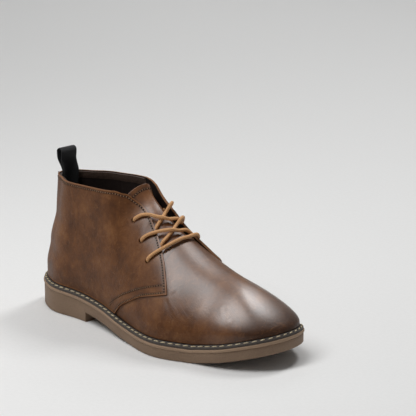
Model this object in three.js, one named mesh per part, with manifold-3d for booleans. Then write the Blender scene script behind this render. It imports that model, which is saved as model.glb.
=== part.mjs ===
// Chukka boot for the right foot: a leather ankle boot with three pairs of eyelets, an open lacing
// over a tongue, a stitched welt and a moulded rubber sole with a low heel.
// Millimetres, +Z up. The toe points to +X, the outer side of the foot to -Y, and the floor is z = 0.
import * as THREE from "three";
import { mergeVertices } from "three/addons/utils/BufferGeometryUtils.js";
import Module from "manifold-3d";

const wasm = await Module();
wasm.setup();

// Driving sizes
const SOLE_LENGTH = 300;
const BALL_WIDTH = 106;
const SOLE_THICKNESS = 12.2;
const HEEL_LIFT = 11.8; // height of the moulded heel under the sole's own thickness, at the back
const HEEL_LENGTH = 84.5;
const TOE_SPRING = 15.6;
const TOE_SWING = 3; // the toe's middle lies this far towards the inner side
const WELT_HEIGHT = 4.2;
const LEDGE = 4.2; // how far the sole's edge stands out past the foot of the upper
const INSTEP_HEIGHT = 111; // top of the foot at the instep, from the floor
const COLLAR_HEIGHT = 127;
const SHAFT_RUN = 100; // height over which the leans of the shaft are given
const HEEL_LEAN = 10; // how far the back leans forwards between heel and collar
const LINING_WALL = 1.7; // vamp and lining together
const QUARTER_WALL = 1.3; // the quarter's leather, on top of the vamp
const STAY_WALL = 0.9; // the strip down the back
const STAY_WIDTH = 24;
const TONGUE_WALL = 1.6;
const TONGUE_DROP = 1.6; // the tongue's face lies this far under the vamp's
const EYELET_DIAMETER = 4.4;
const LACE_DIAMETER = 2.8;
const INSOLE_THICKNESS = 6.4;
const LOOP_WIDTH = 19;
const LOOP_HEIGHT = 23; // how far the pull loop stands over the collar
const LOOP_DEPTH = 7.4;
const LOOP_WALL = 1.3;
const LOOP_TAIL = 13; // length of the loop's ends, inside the back of the shaft
const FLAP_LIFT = 4.6; // how far the inner quarter stands away from the tongue, at the collar
const GAP = 0.3; // clearance between two pieces that touch

const QUARTER_TURN = Math.PI / 2;
const HEEL_CENTRE = 0.1933 * SOLE_LENGTH;
const TOE_CENTRE = 0.8067 * SOLE_LENGTH;

// Plan of the sole. Places run from the middle of the heel's back, 0, along one side to the toe's tip, 1.
// The radii are measured from the spine, as shares of the ball's width.
const PLAN = [
  { place: 0.0, outer: 0.547, inner: 0.547 }, // back of the heel
  { place: 0.09, outer: 0.42, inner: 0.434 }, // round of the heel
  { place: 0.18, outer: 0.349, inner: 0.349 }, // side of the heel
  { place: 0.33, outer: 0.387, inner: 0.307 }, // back of the waist
  { place: 0.47, outer: 0.5, inner: 0.305 }, // waist
  { place: 0.62, outer: 0.604, inner: 0.392 }, // ball
  { place: 0.765, outer: 0.489, inner: 0.437 }, // root of the toe
  { place: 0.84, outer: 0.481, inner: 0.458 }, // side of the toe
  { place: 0.92, outer: 0.524, inner: 0.53 }, // round of the toe
  { place: 1.0, outer: 0.547, inner: 0.547 }, // tip of the toe
];
const HEEL_SIDE = 0.18;
const TOE_ROOT = 0.765;
const TURN_BLEND = 0.06; // half the stretch over which the spine's turns are eased

// Rise of the sole's underside, by share of the length: shares of HEEL_LIFT behind, of TOE_SPRING in front.
const RISE_BEHIND = [
  { along: 0.0, rise: 1.0 },
  { along: 0.133, rise: 0.95 },
  { along: 0.28, rise: 0.74 },
  { along: 0.34, rise: 0.61 },
  { along: 0.433, rise: 0.28 },
  { along: 0.533, rise: 0.04 },
  { along: 0.6, rise: 0.0 },
];
const RISE_AHEAD = [
  { along: 0.77, rise: 0.0 },
  { along: 0.867, rise: 0.36 },
  { along: 0.95, rise: 0.77 },
  { along: 1.0, rise: 1.0 },
];

// Top line of the last over its spine: shares of SOLE_LENGTH and INSTEP_HEIGHT. Behind the instep the
// line runs on over the collar, where only the walls below it are used.
const TOP_LINE = [
  { along: 0.1933, height: 2.7 },
  { along: 0.35, height: 1.89 },
  { along: 0.423, height: 1.2 },
  { along: 0.497, height: 1.0 },
  { along: 0.573, height: 0.85 },
  { along: 0.653, height: 0.725 },
  { along: 0.733, height: 0.632 },
  { along: 0.8067, height: 0.568 },
];

// Fullness of the cross-sections: the two powers of a superellipse, by place.
const FULLNESS = [
  { place: 0.0, rise: 2.0, spread: 2.0 },
  { place: 0.18, rise: 2.0, spread: 2.0 },
  { place: 0.33, rise: 2.0, spread: 2.0 },
  { place: 0.47, rise: 1.88, spread: 1.85 },
  { place: 0.62, rise: 1.88, spread: 1.95 },
  { place: 0.765, rise: 1.95, spread: 1.85 },
  { place: 0.9, rise: 2.1, spread: 1.95 },
  { place: 1.0, rise: 2.0, spread: 1.9 },
];

// Swell and lean of the walls, by place: outward shares of HEEL_LEAN at four heights over the welt.
const LEAN_HEIGHTS = [0.12, 0.35, 0.65, 1.0]; // shares of SHAFT_RUN
const LEAN = [
  { place: 0.0, foot: 0.03, low: -0.37, middle: -1.0, top: -1.0 },
  { place: 0.09, foot: 0.0, low: -0.32, middle: -0.75, top: -0.9 },
  { place: 0.18, foot: 0.13, low: 0.09, middle: -0.09, top: -0.11 },
  { place: 0.33, foot: 0.12, low: 0.05, middle: -0.1, top: -0.1 },
  { place: 0.55, foot: 0.12, low: 0.0, middle: 0.0, top: 0.0 },
  { place: 1.0, foot: 0.08, low: 0.0, middle: 0.0, top: 0.0 },
];

// Edges of the quarters, by place and height as a share of COLLAR_HEIGHT.
const FRONT_EDGE = [
  { place: 0.626, height: 0.419 },
  { place: 0.612, height: 0.474 },
  { place: 0.596, height: 0.522 },
  { place: 0.55, height: 0.641 },
  { place: 0.506, height: 0.741 },
  { place: 0.465, height: 0.837 },
  { place: 0.439, height: 0.889 },
  { place: 0.424, height: 0.915 },
  { place: 0.411, height: 0.943 },
  { place: 0.392, height: 0.98 },
  { place: 0.36, height: 1.0 },
];
const LOWER_EDGE = [
  { place: 0.626, height: 0.419 },
  { place: 0.573, height: 0.388 },
  { place: 0.538, height: 0.364 },
  { place: 0.481, height: 0.299 },
  { place: 0.438, height: 0.236 },
  { place: 0.412, height: 0.179 },
  { place: 0.405, height: 0.15 },
];
// Edge of the throat in the vamp and lining, under the quarters: turn up the section as a share of a quarter.
const THROAT = [
  { place: 0.34, turn: 0.39 },
  { place: 0.375, turn: 0.47 },
  { place: 0.423, turn: 0.55 },
  { place: 0.472, turn: 0.52 },
  { place: 0.519, turn: 0.46 },
  { place: 0.6, turn: 0.46 },
  { place: 1.0, turn: 0.46 },
];
const THROAT_START = 0.34;
const VAMP_EDGE = 0.548; // place of the vamp's top edge, where the tongue is joined
const DEEPER = [0.36, 0.54]; // behind these places the vamp's layer runs one quarter's wall deeper

// Eyelets, from the lowest pair up.
const EYELETS = [
  { place: 0.519, turn: 0.509 },
  { place: 0.472, turn: 0.571 },
  { place: 0.423, turn: 0.63 },
];

// A cubic through the rows of a table.
function curveThrough(xs, ys, slopes) {
  return (x) => {
    let i = 0;
    while (i < xs.length - 2 && x >= xs[i + 1]) i += 1;
    const h = xs[i + 1] - xs[i];
    const t = THREE.MathUtils.clamp((x - xs[i]) / h, 0, 1);
    const t2 = t * t;
    const t3 = t2 * t;
    return (
      (2 * t3 - 3 * t2 + 1) * ys[i] +
      (t3 - 2 * t2 + t) * h * slopes[i] +
      (3 * t2 - 2 * t3) * ys[i + 1] +
      (t3 - t2) * h * slopes[i + 1]
    );
  };
}

// Slope at row i, from its neighbours on both sides.
function middleSlope(xs, ys, i) {
  const before = (ys[i] - ys[i - 1]) / (xs[i] - xs[i - 1]);
  const after = (ys[i + 1] - ys[i]) / (xs[i + 1] - xs[i]);
  return (after * (xs[i] - xs[i - 1]) + before * (xs[i + 1] - xs[i])) / (xs[i + 1] - xs[i - 1]);
}

// An open curve over a table's rows.
function openCurve(rows, key, value) {
  const xs = rows.map((row) => row[key]);
  const ys = rows.map((row) => row[value]);
  const last = xs.length - 1;
  const slopes = xs.map((_, i) => {
    if (i === 0) return (ys[1] - ys[0]) / (xs[1] - xs[0]);
    if (i === last) return (ys[last] - ys[last - 1]) / (xs[last] - xs[last - 1]);
    return middleSlope(xs, ys, i);
  });
  return curveThrough(xs, ys, slopes);
}

// A curve round the whole shoe: along the outer side from 0 to 1, and back along the inner side to 2.
function ringCurve(rows, outer, inner) {
  const back = rows.slice(1, -1).reverse();
  const xs = [...rows.map((row) => row.place), ...back.map((row) => 2 - row.place)];
  const ys = [...rows.map((row) => row[outer]), ...back.map((row) => row[inner])];
  const end = xs.length - 1;
  const ringXs = [xs[end] - 2, ...xs, xs[0] + 2, xs[1] + 2];
  const ringYs = [ys[end], ...ys, ys[0], ys[1]];
  const slopes = ringXs.map((_, i) =>
    i === 0 || i === ringXs.length - 1 ? 0 : middleSlope(ringXs, ringYs, i),
  );
  const curve = curveThrough(ringXs, ringYs, slopes);
  return (ring) => curve(((ring % 2) + 2) % 2);
}

const soleRadius = ringCurve(PLAN, "outer", "inner");
const riseBehind = openCurve(RISE_BEHIND, "along", "rise");
const riseAhead = openCurve(RISE_AHEAD, "along", "rise");
const topLine = openCurve(TOP_LINE, "along", "height");
const fullRise = ringCurve(FULLNESS, "rise", "rise");
const fullSpread = ringCurve(FULLNESS, "spread", "spread");
const leans = ["foot", "low", "middle", "top"].map((name) => ringCurve(LEAN, name, name));
const throatTurn = openCurve(THROAT, "place", "turn");

const placeOf = (ring) => {
  const r = ((ring % 2) + 2) % 2;
  return r <= 1 ? r : 2 - r;
};
const smoothstep = (x, from, to) => THREE.MathUtils.smoothstep(x, from, to);

// Zero below the blend, a straight line above it, and a parabola between.
function easedRamp(t) {
  if (t < -TURN_BLEND) return 0;
  if (t > TURN_BLEND) return t;
  return (t + TURN_BLEND) ** 2 / (4 * TURN_BLEND);
}

// The spine's point for a place on the ring, and the direction in plan from it to the sole's edge.
function spineAt(ring) {
  const place = placeOf(ring);
  const side = ((ring % 2) + 2) % 2 <= 1 ? -1 : 1;
  const run = (easedRamp(place - HEEL_SIDE) - easedRamp(place - TOE_ROOT)) / (TOE_ROOT - HEEL_SIDE);
  const x = HEEL_CENTRE + (TOE_CENTRE - HEEL_CENTRE) * run;
  const y = TOE_SWING * run * run * (3 - 2 * run);
  const isToe = place > (HEEL_SIDE + TOE_ROOT) / 2;
  if (isToe) {
    const turn = (QUARTER_TURN * easedRamp(place - TOE_ROOT)) / (1 - TOE_ROOT);
    const reach = (SOLE_LENGTH - TOE_CENTRE) / (soleRadius(1) * BALL_WIDTH);
    return { x, y, forward: reach * Math.sin(turn), across: side * Math.cos(turn) };
  }
  const turn = QUARTER_TURN * (1 - easedRamp(HEEL_SIDE - place) / HEEL_SIDE);
  const reach = HEEL_CENTRE / (soleRadius(0) * BALL_WIDTH);
  return { x, y, forward: -reach * Math.cos(turn), across: side * Math.sin(turn) };
}

// A point of the sole's outline, moved inwards by inset.
function outlineAt(ring, inset = 0) {
  const spine = spineAt(ring);
  const radius = soleRadius(ring) * BALL_WIDTH;
  const stretch = Math.hypot(spine.forward, spine.across);
  const r = radius - inset / stretch;
  return new THREE.Vector2(spine.x + r * spine.forward, spine.y + r * spine.across);
}

// Heights of the sole at a distance from its back.
function undersideAt(x) {
  const along = x / SOLE_LENGTH;
  if (along > RISE_AHEAD[0].along) return Math.max(0, riseAhead(along)) * TOE_SPRING;
  return Math.max(0, riseBehind(along)) * HEEL_LIFT;
}
const soleTopAt = (x) => undersideAt(x) + SOLE_THICKNESS;
const topLineAt = (x) => topLine(x / SOLE_LENGTH) * INSTEP_HEIGHT;

function topSlopeAt(x) {
  const [from, to] = [x - 0.5, Math.min(x + 0.5, TOE_CENTRE)];
  return (topLineAt(to) - topLineAt(from)) / (to - from);
}

// How far the wall leans or swells outwards at a height over the welt.
function leanAt(ring, height) {
  const knots = [0, ...LEAN_HEIGHTS.map((share) => share * SHAFT_RUN)];
  const values = [0, ...leans.map((lean) => lean(ring) * HEEL_LEAN)];
  for (let i = 0; i < knots.length - 1; i += 1)
    if (height < knots[i + 1])
      return THREE.MathUtils.lerp(values[i], values[i + 1], smoothstep(height, knots[i], knots[i + 1]));
  return values[values.length - 1];
}

// The last's surface. turn runs from 0 at the welt up to 1 on the top line.
const TOP_FADE = 0.35;
function lastPoint(ring, turn) {
  const spine = spineAt(ring);
  const angle = THREE.MathUtils.clamp(turn, 0, 1) * QUARTER_TURN;
  const foot = outlineAt(ring, LEDGE);
  const footHeight = soleTopAt(foot.x) + WELT_HEIGHT;
  const rise = Math.sin(angle) ** (2 / fullRise(ring));
  const spread = Math.max(0, Math.cos(angle)) ** (2 / fullSpread(ring));
  const height = rise * (topLineAt(spine.x) - footHeight);
  const lean = leanAt(ring, height) * Math.min(1, spread / TOP_FADE);
  const stretch = Math.hypot(spine.forward, spine.across);
  const r = (soleRadius(ring) * BALL_WIDTH - LEDGE / stretch) * spread + lean / stretch;
  const forwards = r * spine.forward;
  const isFront = placeOf(ring) > (HEEL_SIDE + TOE_ROOT) / 2;
  const slope = isFront ? topSlopeAt(spine.x) : 0;
  return new THREE.Vector3(
    spine.x + forwards,
    spine.y + r * spine.across,
    footHeight + height + slope * forwards * rise,
  );
}

// The outward normal of the last, taken from small steps, and from the top line where the sides meet.
const STEP = 0.004;
function lastNormal(ring, turn) {
  if (turn > 1 - STEP) {
    return new THREE.Vector3(-topSlopeAt(spineAt(ring).x), 0, 1).normalize();
  }
  const low = Math.max(turn - STEP, STEP / 4);
  const alongRing = lastPoint(ring + STEP / 2, turn).sub(lastPoint(ring - STEP / 2, turn));
  const upTurn = lastPoint(ring, Math.min(turn + STEP, 1)).sub(lastPoint(ring, low));
  const normal = alongRing.cross(upTurn);
  if (turn < STEP) normal.z = 0; // the foot's edge stays level with the welt
  return normal.normalize();
}

// A point a distance d outside the face of the vamp. Behind the vamp that face runs deeper in the last.
function skinPoint(ring, turn, d) {
  const deeper = QUARTER_WALL * (1 - smoothstep(placeOf(ring), ...DEEPER));
  return lastPoint(ring, turn).addScaledVector(lastNormal(ring, turn), d - deeper);
}

const footHeight = (ring) => lastPoint(ring, 0).z;

// The turn at which the last reaches a height.
function turnAtHeight(ring, height) {
  let low = 0;
  let high = 1;
  for (let i = 0; i < 30; i += 1) {
    const middle = (low + high) / 2;
    if (lastPoint(ring, middle).z < height) low = middle;
    else high = middle;
  }
  return (low + high) / 2;
}

// Solids
function solidOf(geometry) {
  const bare = new THREE.BufferGeometry().setAttribute("position", geometry.getAttribute("position"));
  if (geometry.index) bare.setIndex(geometry.index);
  const merged = mergeVertices(bare.index ? bare : bare, 1e-3);
  const kept = [];
  const index = merged.index.array;
  for (let i = 0; i < index.length; i += 3) {
    const [a, b, c] = [index[i], index[i + 1], index[i + 2]];
    if (a !== b && b !== c && c !== a) kept.push(a, b, c);
  }
  return new wasm.Manifold(
    new wasm.Mesh({
      numProp: 3,
      vertProperties: merged.attributes.position.array,
      triVerts: new Uint32Array(kept),
    }),
  );
}

function geometryOf(solid) {
  const mesh = solid.getMesh();
  const positions = new Float32Array(mesh.numVert * 3);
  for (let i = 0; i < mesh.numVert; i += 1)
    positions.set(mesh.vertProperties.subarray(i * mesh.numProp, i * mesh.numProp + 3), i * 3);
  const geometry = new THREE.BufferGeometry();
  geometry.setAttribute("position", new THREE.BufferAttribute(positions, 3));
  geometry.setIndex(new THREE.BufferAttribute(new Uint32Array(mesh.triVerts), 1));
  return geometry;
}

// The main body of a join, without slivers and pockets left between its layers.
const largestBody = (solid) => solid.decompose().reduce((a, b) => (a.volume() > b.volume() ? a : b));

// A closed geometry from points and faces of three or four point numbers.
function facesToGeometry(points, faces) {
  const index = [];
  for (const face of faces) {
    index.push(face[0], face[1], face[2]);
    if (face.length === 4) index.push(face[0], face[2], face[3]);
  }
  const geometry = new THREE.BufferGeometry();
  const flat = points.flatMap((p) => [p.x, p.y, p.z]);
  geometry.setAttribute("position", new THREE.Float32BufferAttribute(flat, 3));
  geometry.setIndex(index);
  return geometry;
}

// A sheet with thickness over a grid of { ring, turn } places: rows run up, columns run round the shoe.
// keep says which cells are there, closed joins the last column to the first, and welded says that the
// top row's points meet those of the other side, so that no wall is needed there.
function sheetSolid({ grid, outer, inner, keep = () => true, closed = false, welded = () => false }) {
  const rows = grid.length;
  const columns = grid[0].length;
  const points = [];
  for (const offset of [outer, inner])
    for (const row of grid) for (const spot of row) points.push(skinPoint(spot.ring, spot.turn, offset(spot)));
  const number = (face, r, c) => face * rows * columns + r * columns + (c % columns);
  const cellColumns = closed ? columns : columns - 1;
  const isCell = (r, c) => {
    if (r < 0 || r >= rows - 1) return false;
    if (!closed && (c < 0 || c >= cellColumns)) return false;
    return keep(r, (c + cellColumns) % cellColumns);
  };
  const faces = [];
  for (let r = 0; r < rows - 1; r += 1)
    for (let c = 0; c < cellColumns; c += 1) {
      if (!isCell(r, c)) continue;
      const corners = [[r, c], [r, c + 1], [r + 1, c + 1], [r + 1, c]];
      faces.push(corners.map(([i, j]) => number(0, i, j)));
      faces.push(corners.map(([i, j]) => number(1, i, j)).reverse());
      const sides = [
        [isCell(r - 1, c), 0, 1],
        [isCell(r, c + 1), 1, 2],
        [isCell(r + 1, c) || (r === rows - 2 && welded(c)), 2, 3],
        [isCell(r, c - 1), 3, 0],
      ];
      for (const [hasNeighbour, from, to] of sides)
        if (!hasNeighbour)
          faces.push([
            number(0, ...corners[to]),
            number(0, ...corners[from]),
            number(1, ...corners[from]),
            number(1, ...corners[to]),
          ]);
    }
  return solidOf(facesToGeometry(points, faces));
}

// Places round the shoe, from the back along the outer side, denser where named.
function ringPlaces(places) {
  const back = places.slice(1, -1).reverse();
  return [...places, ...back.map((place) => 2 - place)];
}
const span = (from, to, count) => Array.from({ length: count + 1 }, (_, i) => from + ((to - from) * i) / count);
const SOLE_PLACES = [...span(0, 0.24, 10), ...span(0.28, 0.52, 5), ...span(0.55, 0.73, 7), ...span(0.76, 1, 10)];

// Rings of points at insets and heights, stacked and closed at both ends by strips across the shoe.
function stackedPlate(places, levels) {
  const rings = ringPlaces(places);
  const count = rings.length;
  const last = places.length - 1;
  const points = levels.flatMap(({ inset, height }) =>
    rings.map((ring) => {
      const p = outlineAt(ring, inset);
      return new THREE.Vector3(p.x, p.y, height(p.x, ring));
    }),
  );
  const faces = [];
  for (let k = 0; k < levels.length - 1; k += 1)
    for (let i = 0; i < count; i += 1) {
      const j = (i + 1) % count;
      faces.push([k * count + i, k * count + j, (k + 1) * count + j, (k + 1) * count + i]);
    }
  const opposite = (i) => (i === 0 || i === last ? i : count - i);
  const top = (levels.length - 1) * count;
  for (let i = 0; i < last; i += 1) {
    const strip = [i, i + 1, opposite(i + 1), opposite(i)];
    faces.push(strip.map((n) => top + n));
    faces.push([...strip].reverse());
  }
  return solidOf(facesToGeometry(points, faces));
}

// Rubber sole and heel, moulded in one. Two columns of points stand one on each side of the heel's breast.
const BREAST_STEP = 0.0003;
const TREAD_EDGE = 1.5;
const LIP = { height: 3.0, overhang: 0.7, round: 0.8 };
function buildOutsole() {
  let breast = HEEL_SIDE;
  while (outlineAt(breast).x < HEEL_LENGTH) breast += BREAST_STEP;
  const places = SOLE_PLACES.filter((place) => Math.abs(place - breast) > 0.012);
  places.push(breast, breast + 2 * BREAST_STEP);
  places.sort((a, b) => a - b);
  const floorAt = (x, ring) => (placeOf(ring) <= breast + BREAST_STEP ? 0 : undersideAt(x));
  return stackedPlate(places, [
    { inset: LIP.overhang + TREAD_EDGE, height: floorAt },
    { inset: LIP.overhang, height: (x, ring) => floorAt(x, ring) + TREAD_EDGE },
    { inset: LIP.overhang, height: (x) => soleTopAt(x) - LIP.height },
    { inset: 0, height: (x) => soleTopAt(x) - LIP.height + LIP.round },
    { inset: 0, height: (x) => soleTopAt(x) - LIP.round },
    { inset: LIP.round, height: soleTopAt },
  ]);
}

// Welt: one section swept round the shoe, with a channel for its stitches and a rib beside the upper.
const WELT_SECTION = [
  { inset: 0.9, height: GAP },
  { inset: 0.9, height: 0.6 * WELT_HEIGHT },
  { inset: 1.5, height: 0.72 * WELT_HEIGHT },
  { inset: 2.1, height: 0.6 * WELT_HEIGHT },
  { inset: 2.7, height: 0.72 * WELT_HEIGHT },
  { inset: 3.3, height: WELT_HEIGHT - 2 * GAP },
  { inset: 2 * LEDGE - GAP, height: WELT_HEIGHT - 2 * GAP },
  { inset: 2 * LEDGE - GAP, height: GAP },
];
function buildWelt() {
  const rings = ringPlaces(SOLE_PLACES);
  const sides = WELT_SECTION.length;
  const points = rings.flatMap((ring) =>
    WELT_SECTION.map(({ inset, height }) => {
      const edge = outlineAt(ring, inset);
      return new THREE.Vector3(edge.x, edge.y, soleTopAt(edge.x) + height);
    }),
  );
  const faces = [];
  rings.forEach((_, i) => {
    const j = (i + 1) % rings.length;
    for (let k = 0; k < sides; k += 1) {
      const l = (k + 1) % sides;
      faces.push([i * sides + k, j * sides + k, j * sides + l, i * sides + l]);
    }
  });
  return solidOf(facesToGeometry(points, faces));
}

// Insole: a footbed that fills the shoe's floor inside the welt.
function buildInsole() {
  const inset = 2 * LEDGE;
  return stackedPlate(SOLE_PLACES, [
    { inset, height: (x) => soleTopAt(x) + GAP },
    { inset, height: (x) => soleTopAt(x) + GAP + INSOLE_THICKNESS - 1 },
    { inset: inset + 1, height: (x) => soleTopAt(x) + GAP + INSOLE_THICKNESS },
  ]);
}

// A spot between the welt and a height, by share of the rise.
function spotBetween(ring, height, share) {
  const foot = footHeight(ring);
  return { ring, turn: turnAtHeight(ring, foot + (height - foot) * share) };
}

// Vamp and lining in one: up to the collar round the shaft, up to the throat's edge under the quarters,
// and right over the forefoot in front of the vamp's edge.
const LINING_DROP = 1.5; // the lining ends this far under the quarter's top edge
function buildVamp() {
  const places = [...span(0, 0.18, 9), ...span(0.212, 0.52, 9), VAMP_EDGE, ...span(0.58, 0.76, 6), ...span(0.795, 1, 6)];
  const rings = ringPlaces(places);
  const lowRows = 10;
  const highRows = 6;
  const edgeTurn = (ring) => {
    const place = placeOf(ring);
    const collar = turnAtHeight(ring, COLLAR_HEIGHT - LINING_DROP);
    return place <= THROAT_START ? collar : Math.min(collar, throatTurn(place));
  };
  const edgeHeight = (ring) => lastPoint(ring, edgeTurn(ring)).z;
  const grid = [];
  for (let r = 0; r <= lowRows; r += 1)
    grid.push(rings.map((ring) => spotBetween(ring, edgeHeight(ring), r / lowRows)));
  for (let r = 1; r <= highRows; r += 1)
    grid.push(
      rings.map((ring) => {
        const edge = edgeTurn(ring);
        return { ring, turn: edge + ((1 - edge) * r) / highRows };
      }),
    );
  const isForefoot = (c) => {
    const next = rings[(c + 1) % rings.length];
    return placeOf(rings[c]) >= VAMP_EDGE && placeOf(next) >= VAMP_EDGE;
  };
  return sheetSolid({
    grid,
    closed: true,
    outer: () => 0,
    inner: () => -LINING_WALL,
    keep: (r, c) => r < lowRows || isForefoot(c),
    welded: isForefoot,
  });
}

// Places along an edge of a quarter, as share of the edge's rows.
function edgeSpots(rows, side, count) {
  const at = openCurve(rows.map((row, i) => ({ ...row, share: i / (rows.length - 1) })), "share", "place");
  const up = openCurve(rows.map((row, i) => ({ ...row, share: i / (rows.length - 1) })), "share", "height");
  return span(0, 1, count).map((share) => {
    return { ring: -side * at(share), height: up(share) * COLLAR_HEIGHT };
  });
}

// The quarters: one piece of leather round the heel, from front edge to front edge. Its places are
// blended between the front edges, the collar and the lower edges.
function quarterGrid(rows, columns) {
  const edgeColumns = Math.round(columns * 0.2);
  const left = edgeSpots(FRONT_EDGE, 1, rows);
  const right = edgeSpots(FRONT_EDGE, -1, rows);
  const lowerLeft = edgeSpots(LOWER_EDGE, 1, edgeColumns);
  const lowerRight = edgeSpots(LOWER_EDGE, -1, edgeColumns).reverse();
  const footPlace = LOWER_EDGE[LOWER_EDGE.length - 1].place;
  const between = span(-footPlace, footPlace, columns - 2 * edgeColumns).slice(1, -1);
  const onFoot = (ring) => ({ ring, height: footHeight(ring) });
  const bottom = [
    ...lowerLeft.slice(0, -1),
    onFoot(-footPlace),
    ...between.map(onFoot),
    onFoot(footPlace),
    ...lowerRight.slice(1),
  ];
  const topPlace = FRONT_EDGE[FRONT_EDGE.length - 1].place;
  const top = span(-topPlace, topPlace, columns).map((ring) => ({ ring, height: COLLAR_HEIGHT }));
  const grid = [];
  for (let r = 0; r <= rows; r += 1) {
    const v = r / rows;
    grid.push(
      bottom.map((low, c) => {
        const h = c / columns;
        const blend = (key) =>
          (1 - v) * low[key] + v * top[c][key] + (1 - h) * left[r][key] + h * right[r][key] -
          (1 - v) * ((1 - h) * bottom[0][key] + h * bottom[columns][key]) -
          v * ((1 - h) * top[0][key] + h * top[columns][key]);
        const ring = blend("ring");
        return { ring, turn: r === 0 && c >= edgeColumns && c <= columns - edgeColumns ? 0 : turnAtHeight(ring, blend("height")) };
      }),
    );
  }
  return grid;
}

// The inner quarter's flap stands off the tongue towards the collar.
function flapLift({ ring, turn }) {
  const place = placeOf(ring);
  if (((ring % 2) + 2) % 2 <= 1) return 0;
  const acrossFlap = smoothstep(turn, throatTurn(place) + 0.04, throatTurn(place) + 0.26);
  const upFlap = 1 - smoothstep(place, 0.4, 0.58);
  const fromShaft = smoothstep(place, 0.34, 0.4);
  return FLAP_LIFT * acrossFlap * upFlap * fromShaft;
}

// A layer's back is sunk into the layer under it. The free flaps end a little over the tongue's face.
const SKIN_SINK = 1.2;
const FLAP_SINK = 0.6;
function quarterSink({ ring, turn }) {
  const place = placeOf(ring);
  const free = smoothstep(turn, throatTurn(place) - 0.06, throatTurn(place)) * smoothstep(place, 0.33, 0.36);
  return THREE.MathUtils.lerp(SKIN_SINK, FLAP_SINK, free);
}
function buildQuarters() {
  return sheetSolid({
    grid: quarterGrid(10, 44),
    outer: (spot) => QUARTER_WALL + flapLift(spot),
    inner: (spot) => flapLift(spot) - quarterSink(spot),
  });
}

// The strip down the back seam, from the collar to the welt.
function buildStay() {
  const half = STAY_WIDTH / 2 / ((soleRadius(0) * BALL_WIDTH * QUARTER_TURN) / HEEL_SIDE);
  const grid = span(0, 1, 10).map((v) =>
    span(-half, half, 6).map((ring) => spotBetween(ring, COLLAR_HEIGHT - 0.5, v)),
  );
  return sheetSolid({
    grid,
    outer: () => QUARTER_WALL + STAY_WALL,
    inner: () => QUARTER_WALL / 4,
  });
}

// A round bar through the wall at a place.
function boreAt(ring, turn, diameter, depth) {
  const bar = new THREE.CylinderGeometry(diameter / 2, diameter / 2, depth, 12);
  const normal = lastNormal(ring, turn);
  bar.applyQuaternion(new THREE.Quaternion().setFromUnitVectors(new THREE.Vector3(0, 1, 0), normal));
  const centre = skinPoint(ring, turn, 0);
  bar.translate(centre.x, centre.y, centre.z);
  return solidOf(bar);
}

const OUTER = -1;
const INNER = 1;
const eyeletRing = (eyelet, side) => (side < 0 ? eyelet.place : -eyelet.place);
function buildUpper() {
  let upper = buildVamp().add(buildQuarters()).add(buildStay());
  for (const eyelet of EYELETS)
    for (const side of [OUTER, INNER])
      upper = upper.subtract(boreAt(eyeletRing(eyelet, side), eyelet.turn, EYELET_DIAMETER, 16));
  return largestBody(upper);
}

// Tongue: lies in the throat, and its root runs under the vamp's edge.
const TONGUE = { root: 0.6, dip: 0.535, top: 0.4, topLean: 0.02, sideGap: 0.045, topDrop: 0.7 };
function buildTongue() {
  const underVamp = -LINING_WALL - GAP;
  const outer = ({ ring }) => {
    const under = smoothstep(placeOf(ring), TONGUE.dip - 0.03, TONGUE.dip + 0.008);
    const drop = TONGUE_DROP + TONGUE.topDrop * (1 - smoothstep(placeOf(ring), TONGUE.top, TONGUE.top + 0.06));
    return THREE.MathUtils.lerp(-drop, underVamp, under);
  };
  const grid = span(0, 1, 12).map((v) =>
    span(-1, 1, 14).map((a) => {
      const side = Math.abs(a);
      const place = THREE.MathUtils.lerp(TONGUE.root, TONGUE.top, v) - TONGUE.topLean * v * v * side * side;
      const edge = throatTurn(place) + TONGUE.sideGap + 0.3 * smoothstep(place, 0.5, TONGUE.root);
      return { ring: a <= 0 ? place : 2 - place, turn: 1 - side * (1 - edge) };
    }),
  );
  return sheetSolid({
    grid,
    outer,
    inner: (spot) => outer(spot) - TONGUE_WALL,
  });
}

// Distance from the heel's back to the lining, at a height and off the middle.
function backWallAt(y, height) {
  const wall = (ring) => skinPoint(ring, turnAtHeight(ring, height), -LINING_WALL);
  let near = 0;
  let far = HEEL_SIDE;
  for (let i = 0; i < 20; i += 1) {
    const middle = (near + far) / 2;
    if (Math.abs(wall(-middle * Math.sign(y)).y) < Math.abs(y)) near = middle;
    else far = middle;
  }
  return wall(-near * Math.sign(y)).x;
}

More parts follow.
